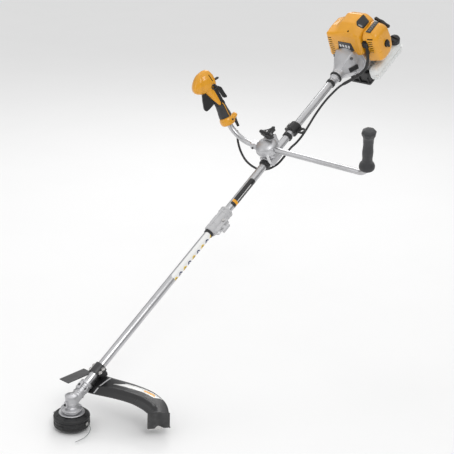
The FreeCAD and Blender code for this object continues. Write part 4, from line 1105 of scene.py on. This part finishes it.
handlebar()
left_grip()
bracket()
wing_knob()


# ---------------------------------------------------------------- engine

# Painted shade: a near-black finish for the walls and floors of cut slots, holes and gaps, standing in for
# the shade inside them.
recess_shade_black = moulded("recess_shade_black", (0.010, 0.009, 0.008), (0.02, 0.02, 0.02), roughness=(0.6, 0.7))
label_grey = moulded("label_grey", (0.11, 0.11, 0.10), (0.2, 0.2, 0.2), roughness=(0.4, 0.5))
CAP = shift(154, -76, -44) @ turn("x", 20)
GRIP_AT = shift(cylinder_station + 96.3, -42, 38) @ turn("x", 32)


def facing(at, normal, along=(1.0, 0.0, 0.0)):
    """A frame at a point whose z axis is the given normal and whose x axis stays near a direction."""
    z = np.asarray(normal, float) / np.linalg.norm(normal)
    x = np.asarray(along, float) - z * np.dot(along, z)
    x /= np.linalg.norm(x)
    matrix = np.eye(4)
    matrix[:3, 0], matrix[:3, 1], matrix[:3, 2], matrix[:3, 3] = x, np.cross(z, x), z, at
    return matrix


def carve(target, tools, place, inner, sharp=32):
    """Cuts closed tools out of a piece; the faces that this uncovers take the inner finish, which here is
    painted shade: near black where the cut walls would lie in shade.
    """
    cutter = piece("cutter", tools, place, "root", inner)
    cut = target.modifiers.new("cut", "BOOLEAN")
    cut.operation = "DIFFERENCE"
    cut.solver = "EXACT"
    cut.material_mode = "TRANSFER"
    cut.use_self = True
    cut.object = cutter
    bpy.context.view_layer.update()
    mesh = bpy.data.meshes.new_from_object(target.evaluated_get(bpy.context.evaluated_depsgraph_get()))
    target.modifiers.remove(cut)
    target.data = mesh
    bpy.data.objects.remove(cutter)
    mesh.shade_smooth()
    mesh.set_sharp_from_angle(angle=math.radians(sharp))


def outline_at(station, keys, corners):
    """The corners of an outline at a station, each read between its values at the key stations."""
    return np.array([[np.interp(station, keys, u), np.interp(station, keys, v)] for u, v in corners])


def drawn_in(outline, centre, inset):
    """An outline whose corners each move a distance towards a centre: c + (p - c)(1 - inset / |p - c|)."""
    reach = np.linalg.norm(outline - centre, axis=1, keepdims=True)
    return centre + (outline - centre) * (1 - inset / reach)


def main_cover():
    """The big cover: a lofted hood with a sloping crest over a tunnel for the fan housing.

    Its rings stand across the crankshaft. The outer corners follow a table of stations; the inner edge is
    an arc, narrow in the front wall and wide behind it.
    """
    keys = np.array([0.0, 8.0, 42.0, 84.0, 104.0, 113.0])
    corners = [
        ([-62, -67, -68, -68, -65, -60], [31] * 6),
        ([-62, -67, -68, -69, -65, -59], [97, 106, 112, 115, 108, 97]),
        ([-44, -43, -41, -47, -45, -42], [109, 118, 135, 141, 129, 114]),
        ([14, 18, 20, 17, 14, 10], [107, 115, 133, 139, 127, 112]),
        ([38, 41, 40, 38, 34, 30], [105, 110, 115, 116, 107, 96]),
        ([66, 72, 73, 72, 65, 58], [99, 105, 107, 105, 95, 84]),
        ([78, 84, 86, 85, 80, 73], [5] * 6)]
    stations = np.unique(np.concatenate([[0, 0.4, 1.2, 2.8], np.linspace(3, 110, 40),
                                         [111, 112.2, 112.8, 113]]))
    centre, end_round, count = np.array([8.0, 52.0]), 7.0, 24
    rings = []
    for station in stations:
        depth = min(station - keys[0], keys[-1] - station)
        inset = end_round * (1 - math.sqrt(max(0.0, 1 - max(0.0, 1 - depth / end_round) ** 2)))
        ring = eased(drawn_in(outline_at(station, keys, corners), centre, inset), 9.0, 5)
        radius = 55.6 if station < 3 else 66.8
        angle = np.linspace(math.asin(5 / radius), math.pi - math.asin(31 / radius), count)
        tunnel = np.column_stack([np.cos(angle), np.sin(angle)]) * radius
        rings.append(np.vstack([ring, tunnel]))
    rings = np.array(rings)
    rings = np.concatenate([np.broadcast_to(stations[:, None, None], rings.shape[:2] + (1,)), rings], axis=2)
    hood = piece("hood", [lofted(rings)], ENGINE, "root", amber, ["engine_cover"], sharp=28)
    slots = []
    for k in range(9):
        start = max(50.0, math.sqrt(max(0, 60.0 ** 2 - (12.5 + 9.6 * k) ** 2)))
        slots.append(soft_box((-8, start, 11 + 9.6 * k), (4.5, 68, 14.4 + 9.6 * k), 1.2, 2))
    hole = revolved([(-6, 0), (-6, 3.2), (6, 3.2), (6, 0)], ease=0.3, segments=24)
    hole = moved(hole, facing((14, -22, 121), (-0.35, -0.1, 0.94)))
    # The walls of the vent slots and the hole take the near-black painted shade.
    carve(hood, slots + [hole], ENGINE, recess_shade_black, sharp=28)
    window = [(-20, -16), (16, -17), (24, 15), (-14, 18), (-25, 8)]
    slant = facing((62, -54.5, 127.0), (-0.16, -0.64, 0.75))
    pillow = layered(window, [(0.98, -4), (1.0, -0.5), (1.0, 1.0), (0.94, 2.3), (0.8, 3.2), (0.5, 4.0),
                              (0.1, 4.2)])
    piece("hood_window", [moved(pillow, slant)], ENGINE, "root", gloss_black)
    lip = layered(window, [(1.1, -3), (1.12, 0.4), (1.09, 1.4), (1.03, 1.6), (1.0, 0.6)])
    piece("hood_window_rim", [moved(lip, slant)], ENGINE, "root", amber)
    plate = [(24, 80), (32, 46), (-36, 48), (-29, 80)]
    points, faces = layered(plate, [(1.0, 1.0), (1.0, -0.7), (0.985, -1.3), (0.9, -1.4), (0.2, -1.4)], 2.4,
                            centre=(-2.0, 62.0))
    piece("front_plate", [(points[:, [2, 0, 1]], faces)], ENGINE, "root", gloss_black)
    bars = [soft_box((-2.0, -20 + k * 11.5, 56 + 0.5 * k), (-1.0, -13 + k * 11.5, 68), 0.45, 2)
            for k in range(4)]
    piece("front_plate_marks", bars, ENGINE, "root", pale_trim)


def filter_cover():
    """The air-filter cover: an eight-sided pan lofted sideways, with louvres, a label bar and its knob."""
    keys = np.array([70.0, 100.0, 125.0])
    corners = [
        ([17, 19, 21], [-6, 0, 2]), ([14, 17, 20], [97, 95, 92]), ([30, 34, 36], [112, 110, 106]),
        ([88, 87, 84], [114, 111, 106]), ([107, 104, 99], [97, 94, 90]), ([113, 110, 104], [40, 41, 42]),
        ([105, 101, 95], [0, 4, 8]), ([82, 78, 74], [-13, -10, -6]), ([32, 36, 38], [-14, -12, -8])]
    rings = []
    for station in np.concatenate([np.linspace(72.5, 107, 12), np.linspace(108, 125, 22)]):
        far = np.clip((station - 107) / 18, 0, 1)
        inset = 17 * (1 - math.sqrt(max(0.0, 1 - far ** 2.2)))
        near = np.clip((75 - station) / 2.5, 0, 1)
        outline = drawn_in(outline_at(station, keys, corners), np.array([64.0, 50.0]), inset + near)
        ring = eased(outline, 6.5, 5)
        rings.append(np.column_stack([ring[:, 0], np.full(len(ring), -station), ring[:, 1]]))
    pan = piece("filter_pan", [lofted(rings)], ENGINE, "root", amber, ["air_filter_cover"],
                sharp=28)
    cuts = [soft_box((8, -106 + 0.8 * k, 80.5 - 8.6 * k), (28, -91 + 0.8 * k, 84.0 - 8.6 * k), 1.1, 2)
            for k in range(6)]
    cuts.append(soft_box((8, -111, 92), (29, -90, 96), 1.6, 2))
    cuts.append(soft_box((8, -85.5, 54), (26, -60, 88), 3.0, 2))
    cuts.append(moved(revolved([(-3, 0), (-3, 13.5), (3, 13.5), (3, 0)], ease=0.5, segments=40),
                      facing((66, -125, 44), (0, -1, 0))))
    # The walls of the louvres, recesses and knob seat take the near-black painted shade.
    carve(pan, cuts, ENGINE, recess_shade_black, sharp=28)
    bar = soft_box((-29, -9, -1.5), (29, 9, 1.1), 1.0)
    top = facing((62, -89, 111.7), (0.0, -0.07, 1.0))
    piece("filter_label", [moved(bar, top)], ENGINE, "root", gloss_black)
    marks = [soft_box((-24 + 9.5 * k, -5 + 0.4 * (k % 2), 0.9), (-18.5 + 9.5 * k, 4.6, 1.3), 0.18, 2)
             for k in range(6)]
    piece("filter_label_marks", [moved(mark, top) for mark in marks], ENGINE, "root", label_grey)
    key_turn = facing((66, -124, 44), (0, -1, 0), (1, 0, 0))

    def lobes(angle, station):
        """Eight shallow grips round the knob's rim."""
        return 1 - 0.05 * np.clip(np.cos(8 * angle), 0, 1) * (station > 1)

    disc = revolved([(-10, 0), (-10, 5.5), (0, 5.5), (0.4, 11.5), (5, 11.2), (7.5, 9.5), (8, 0)], ease=1.0,
                    segments=64, ripple=lobes)
    handle = soft_box((-4, -15, 3), (4, 15, 11), 3.2)
    piece("filter_wing", [moved(disc, key_turn), moved(handle, key_turn)], ENGINE, "filter_knob", black,
          ["filter_knob"])


def clutch_housing():
    """The cast cone: five soft flats that fade towards the tube, ribs, a grille and its screws."""
    def flats(angle, station):
        """Five flats on the cone, deepest near its middle."""
        share = np.clip((station + 78) / 20, 0, 1) * np.clip((2 - station) / 12, 0, 1)
        facet = 0.81 / np.cos((angle - 2.15) % (0.4 * np.pi) - 0.2 * np.pi)
        return 1 + share * (facet - 0.88) * 0.9

    cone = revolved([
        (-88, 13.3), (-88, 20), (-86.5, 21.2), (-76, 21.6), (-70, 23), (-58, 30), (-40, 42), (-24, 50),
        (-10, 54.5), (-1, 55.2), (3.4, 55.2), (3.6, 66), (27, 66), (27, 58), (8, 52), (-26, 40), (-36, 16),
        (-44.7, 13.3)], axis="x", segments=144, ease=2.0, ripple=flats)
    ribs = []
    for heading in (51, 123, 195, 267, 339):
        path = [(-80, 19, 0), (-68, 23.5, 0), (-50, 35.5, 0), (-30, 47.5, 0), (-8, 54.6, 0)]
        rib = carried(smooth_path(path, 30), disc_section(3.4, 14) * [1.0, 0.8], up=(0.0, 0.0, 1.0))
        ribs.append(moved(rib, turn("x", heading)))
    seats = []
    for angle in np.radians([135, 45, 225, 315]):
        across, up = math.cos(angle), math.sin(angle)
        seats.append(facing((-25, 47.5 * across, 47.5 * up), (-0.5, 0.86 * across, 0.86 * up)))
    boss = revolved([(-6, 0), (-6, 8), (1.5, 8), (3, 6.6), (3, 0)], ease=0.8, segments=40)
    piece("clutch_bell", [cone] + ribs + [moved(boss, seat) for seat in seats], ENGINE, "root", cast,
          ["clutch_housing"], sharp=40)
    bolts = [moved(screw((0, 0, 2.6), np.eye(4), 5.2, 3.6), seat) for seat in seats]
    piece("clutch_bolts", bolts, ENGINE, "root", dark_steel)
    grille = facing((-39, -42.6, 2), (-0.52, -0.85, 0.0))
    back = soft_box((-17, -9, -3), (17, 9, 0.8), 1.0, 2)
    bars = [soft_box((-15.5 + 4.6 * k, -8, 0.2), (-13 + 4.6 * k, 8, 2.2), 0.8, 2) for k in range(7)]
    piece("clutch_grille", [moved(part, grille) for part in [back] + bars], ENGINE, "root", black)


def tank():
    """The fuel tank: a sagging rounded box with a welded seam, a neck, and a ribbed black cap."""
    def sagging(low, high, radius):
        """A rounded box swollen across its length: y and z are scaled by 1 + 0.03 cos(x / 46)."""
        points, quads = soft_box(low, high, radius, 8)
        middle = (np.asarray(low) + np.asarray(high)) / 2
        bulge = 1 + 0.03 * np.cos((points[:, :1] - middle[0]) / 46)
        swell = np.column_stack([np.ones(len(points)), bulge, bulge])
        return middle + (points - middle) * swell, quads

    body = sagging((34.5, -76, -108), (161, 65, -67), 17)
    flank = sagging((5, -94, -88), (175, -55, -38), 15)
    seam = soft_box((3.6, -95.4, -64.0), (176.4, -74, -62.0), 0.95, 4)
    neck = moved(revolved([(-6, 0), (-6, 17.5), (10, 17), (24, 14.6), (24, 0)], ease=1.5, segments=56), CAP)
    piece("fuel_vessel", [body, flank, seam, neck], ENGINE, "root", tank_white, ["fuel_tank"],
          sharp=50)

    def grips(angle, station):
        """Twenty small ribs round the cap's side."""
        return 1 + 0.035 * (np.cos(20 * angle) > 0.1) * (station > 12.5) * (station < 30)

    cap = revolved([(12, 15.4), (12, 18), (14, 18.4), (29, 18), (32.5, 16), (34, 11), (34, 0), (25, 0),
                    (25, 15.4)], ease=1.4, segments=160, ripple=grips)
    bridge = soft_box((-3, -14, 32), (3, 14, 38), 2.2)
    piece("tank_cap", [moved(cap, CAP), moved(bridge, CAP)], ENGINE, "fuel_cap", black, ["fuel_cap"])


def starter():
    """The recoil housing: a stepped drum with radial slots and screws, and its T-shaped handle."""
    back = cylinder_station + 34
    drum = revolved([
        (back, 44), (back, 58), (back + 2, 61), (back + 6, 62.4), (back + 46, 61.4), (back + 54, 58),
        (back + 60, 53), (back + 62, 46), (back + 62, 0), (back + 54, 0), (back + 54, 44)], axis="x",
        segments=120, ease=2.0)
    vanes = []
    for k in range(12):
        vane = soft_box((back + 57, 22, -1.6), (back + 63.0, 43, 1.6), 1.0, 2)
        vanes.append(moved(vane, turn("x", 30 * k)))
    hub = revolved([(back + 60, 0), (back + 60, 14), (back + 63, 13), (back + 64, 10), (back + 64, 0)],
                   axis="x", segments=60, ease=0.8)
    piece("recoil_drum", [drum, hub] + vanes, ENGINE, "root", black, ["starter_housing"])
    bolts = []
    for k in range(4):
        angle = k * math.pi / 2 + 0.78
        seat = facing((back + 60.0, 51.5 * math.cos(angle), 50 * math.sin(angle)), (1, 0, 0), (0, 1, 0))
        bolts.append(moved(screw((0, 0, 0), np.eye(4), 3.8, 2.8), seat))
    piece("recoil_bolts", bolts, ENGINE, "root", machined)
    swell = np.linspace(-31, 31, 28)
    path = np.column_stack([8.0 + 1.6 * np.cos(swell / 31 * math.pi / 2), swell, np.zeros(28)])
    girth = 0.82 + 0.2 * np.cos(swell / 31 * math.pi) ** 2
    girth[[0, -1]] = 0.35
    girth[[1, -2]] = 0.72
    bar = carried(path, disc_section(1.0, 24) * [7.6, 7.0], scale=girth, up=(1.0, 0.0, 0.0))
    stem = revolved([(0.3, 0), (0.3, 6), (2.0, 6.4), (6, 5), (9, 5), (9, 0)], axis="x", segments=40,
                    ease=0.6)
    piece("pull_handle", [moved(part, GRIP_AT) for part in (bar, stem)], ENGINE, "starter_grip", black,
          ["starter_grip"])


def foot_and_fittings():
    """The stand under the housing, and the cable's end fitting beside the filter cover."""
    sole = [(8, -46), (50, -46), (50, 40), (8, 40)]
    plate = layered(sole, [(0.94, -117), (1.0, -115.4), (1.0, -110), (0.95, -108.3)], 6, 4, (29.0, -3.0))
    web = soft_box((14, -44, -112), (33.6, 38, -66), 4)
    ribs = [soft_box((9, y - 2, -113), (32, y + 2, -88), 1.6) for y in (-38, -3, 32)]
    piece("stand", [plate, web] + ribs, ENGINE, "root", black, ["engine_foot"])
    ferrule = revolved([(0, 0), (0, 4.8), (3, 5.6), (10, 5.6), (12, 4.4), (12, 0)], ease=0.7, segments=40)
    guide = revolved([(-26, 3.3), (-26, 4.6), (-2, 5.6), (0, 5.6), (0, 3.3)], ease=0.6, segments=40)
    up = facing((16, -78, 58), (0.12, 0.1, 1.0))
    piece("cable_ferrule", [moved(ferrule, up), moved(guide, up)], ENGINE, "root", black)


main_cover()
filter_cover()
clutch_housing()
tank()
starter()
foot_and_fittings()


# ---------------------------------------------------------------- throttle grip

def throttle_head():
    """The hood over the trigger: rings across the grip's length, egg-shaped, leaning out over the trigger.

    Each ring is a superellipse whose centre and half widths follow smooth lines along the grip.
    """
    # height, centre and half width outwards, then the half width across at the same heights
    stations = [(118.5, -14, 22), (122, -18, 31), (132, -22, 40), (146, -22, 42), (160, -19, 38),
                (173, -15, 30), (182, -11, 21), (187.5, -8, 9)]
    half_widths = [13, 18, 22.5, 25, 24.5, 21, 15, 5]
    line = smooth_path(stations, 48)
    across = np.interp(line[:, 0], [row[0] for row in stations], half_widths)
    angle = np.linspace(0, 2 * math.pi, 72, endpoint=False)
    cos, sin = np.cos(angle), np.sin(angle)
    power = 0.82
    shape_x = np.sign(cos) * np.abs(cos) ** power
    shape_y = np.sign(sin) * np.abs(sin) ** power
    x = line[:, 1:2] + line[:, 2:3] * shape_x[None]
    y = across[:, None] * shape_y[None]
    z = np.repeat(line[:, :1], 72, axis=1)
    ridge = x + 30 - 0.35 * (z - 150)
    lift = 1.6 * np.tanh(-ridge / 2.2) - 2.4 * np.exp(-(ridge / 3.0) ** 2)
    y = y + np.sign(y) * lift * np.clip(np.abs(y) / 8, 0, 1)
    return lofted(np.stack([x, y, z], axis=-1))


def throttle_housing():
    """The grip's moulding: hood, tongue down the grip, lower collar with its lump, and the cable guide."""
    hood = piece("throttle_hood", [throttle_head()], THROTTLE, "handlebar", amber, ["throttle_housing"],
                 sharp=40)
    slide_slot = soft_box((6, -9.2, 137), (60, 9.2, 155.5), 1.6, 3)
    button_hole = moved(revolved([(-60, 0), (-60, 5.6), (-8, 5.6), (-8, 0)], axis="y", ease=0.3,
                                 segments=36), shift(6, 0, 128))
    vent = moved(soft_box((-1.3, -60, -13), (1.3, -13, 13), 1.1, 3), shift(4, 0, 158), turn("y", -8))
    # The walls of the slide slot, button hole and vent take the near-black painted shade.
    carve(hood, [slide_slot, button_hole, vent], THROTTLE, recess_shade_black, sharp=40)
    share = np.linspace(0, 1, 36)
    oval = disc_section(1.0, 40)
    oval = np.sign(oval) * np.abs(oval) ** 0.8
    core = carried(np.column_stack([1 - 5 * share, 0 * share, 58 + 66 * share]), oval * [13.3, 17.5],
                   up=(1.0, 0.0, 0.0))
    core_piece = piece("throttle_core", [core], THROTTLE, "handlebar", black, sharp=45)
    tongue = carried(np.column_stack([-2.5 - 12 * share ** 1.4, 0 * share, 61.5 + 64 * share]),
                     oval * [14.6, 18.0], up=(1.0, 0.0, 0.0))
    points, faces = tongue
    along = (points[:, 2] - 61.5) / 64
    middle = -2.5 - 12 * np.clip(along, 0, 1) ** 1.4
    width = np.interp(along, [0, 0.03, 0.1, 0.25, 1.0], [0.16, 0.34, 0.5, 0.6, 1.0])
    points[:, 0] = middle + (points[:, 0] - middle) * width
    points[:, 1] *= np.interp(along, [0, 0.04, 1.0], [0.94, 1.0, 1.06])
    tongue_piece = piece("throttle_tongue", [(points, faces)], THROTTLE, "handlebar", amber,
                         sharp=45)
    opening = soft_box((-80, -6, 56.8), (-6, 6, 119), 1.5, 2)
    lever_gap = soft_box((4.5, -8.8, 68), (60, 8.8, 121), 1.5, 2)
    # The walls of the opening, lever gap and button hole take the near-black painted shade.
    carve(core_piece, [opening, lever_gap, button_hole], THROTTLE, recess_shade_black, sharp=45)
    carve(tongue_piece, [opening], THROTTLE, recess_shade_black, sharp=45)
    bezel = moved(revolved([(-19.5, 5.4), (-21.4, 6.2), (-20.6, 9.2), (-16, 9.8), (-14, 9.8), (-14, 5.4)],
                           axis="y", ease=0.4, segments=40), shift(2.5, 0, 127))
    piece("button_bezel", [bezel], THROTTLE, "handlebar", gloss_black)
    collar = revolved([
        (-13, 9.9), (-13, 19), (-12, 21.5), (-9, 24), (-2, 25.8), (6, 25.6), (12, 23.4), (15, 20.8),
        (15, 12.6), (10, 9.9)], segments=96, ease=1.6)
    taper = np.interp(np.linspace(0, 1, 22), [0, 0.5, 0.85, 0.95, 1], [1.15, 1.05, 0.85, 0.6, 0.1])
    lump = carried(smooth_path([(8, 0, 0), (20, 0, 2.5), (30, 0, 6), (38, 0, 10)], 22),
                   disc_section(1.0, 28) * [11.5, 9.5], scale=taper)
    piece("throttle_collar", [collar, lump], THROTTLE, "handlebar", amber, sharp=45)
    relief = revolved([(-34, 3.8), (-34, 4.4), (-20, 4.8), (-19, 5.6), (-17, 5.4), (-16, 4.8), (-13, 5.2),
                       (-12, 6), (-10, 6), (-9, 5.4), (-6, 6), (-2, 7.6), (-2, 3.8)], ease=0.5, segments=40)
    piece("throttle_relief", [moved(relief, shift(26, 0, 0))], THROTTLE, "handlebar", soft_rubber)
    bolt = moved(screw((0, 0, 0), np.eye(4), 3.4, 2.4), facing((12, -22.0, 2), (0.5, -0.87, 0), (0, 0, 1)))
    piece("throttle_screws", [bolt], THROTTLE, "handlebar", dark_steel)


def throttle_controls():
    """Rubber sleeve, trigger, lock lever, stop switch and start button."""
    def sleeve_grooves(angle, station):
        """Rings of shallow grooves, and a long ridge on two sides."""
        groove = 0.018 * (np.cos(station * 2 * np.pi / 4.6) > 0.3) * (station > 18) * (station < 56)
        return 1 - groove * (np.abs(np.sin(angle)) > 0.35)

    sleeve = revolved([(15.3, 12.8), (15.3, 21.6), (18, 22.2), (28, 20.8), (40, 18.8), (52, 17.8),
                       (60.2, 17.2), (60.6, 16.4), (60.6, 12.8), (45, 12.8), (30, 12.8)],
                      segments=96, ease=0.5, ripple=sleeve_grooves)
    piece("hand_sleeve", [sleeve], THROTTLE, "handlebar", grip_rubber, ["grip_sleeve"],
          sharp=50)
    stripe = carried(smooth_path([(8, -20.4, 17), (8, -18.4, 36), (8, -16.2, 58), (5, -14.6, 66)], 24),
                     disc_section(1.0, 12) * [1.2, 1.6], up=(0.0, 1.0, 0.0))
    piece("sleeve_stripe", [stripe], THROTTLE, "handlebar", amber)
    outline = eased([(-5, 118), (-42, 118), (-50, 96), (-57, 70), (-52, 61), (-40, 63), (-17, 72), (-9, 84),
                     (-7, 100)], 4, 5)
    blade = prism(outline, -5, 5, "xz")
    pivot = moved(revolved([(-5.2, 0), (-5.2, 5.2), (5.2, 5.2), (5.2, 0)], axis="y", ease=0.4, segments=32),
                  shift(-8, 0, 110))
    piece("finger_trigger", [blade, pivot], THROTTLE, "trigger", black, ["throttle_trigger"],
          bevel=2.2)
    lever = prism(eased([(6, 119), (19, 121), (28, 112), (30, 92), (33, 76), (30, 72), (19, 76), (17.5, 90),
                         (15, 104), (6, 110)], 3.5, 4), -8, 8, "xz")
    piece("safety_lever", [lever], THROTTLE, "lock_lever", black, ["throttle_lock"],
          bevel=2.0)
    slide = soft_box((8, -8.4, 141), (24, 8.4, 146.6), 1.2)
    tab = soft_box((22, -5.2, 140.6), (33, 5.2, 147), 2.0)
    ridges = [soft_box((32.2, -4.6, 141.4 + 1.8 * k), (33.8, 4.6, 142.3 + 1.8 * k), 0.4, 2)
              for k in range(3)]
    piece("stop_slide", [slide, tab] + ridges, THROTTLE, "stop_switch", black, ["stop_switch"])
    button = moved(revolved([(-27.5, 0), (-27.5, 3.6), (-26.6, 4.8), (-13, 5), (-13, 0)], axis="y", ease=0.7,
                            segments=40), shift(6, 0, 128))
    piece("start_push", [button], THROTTLE, "start_button", black, ["start_button"])


throttle_housing()
throttle_controls()
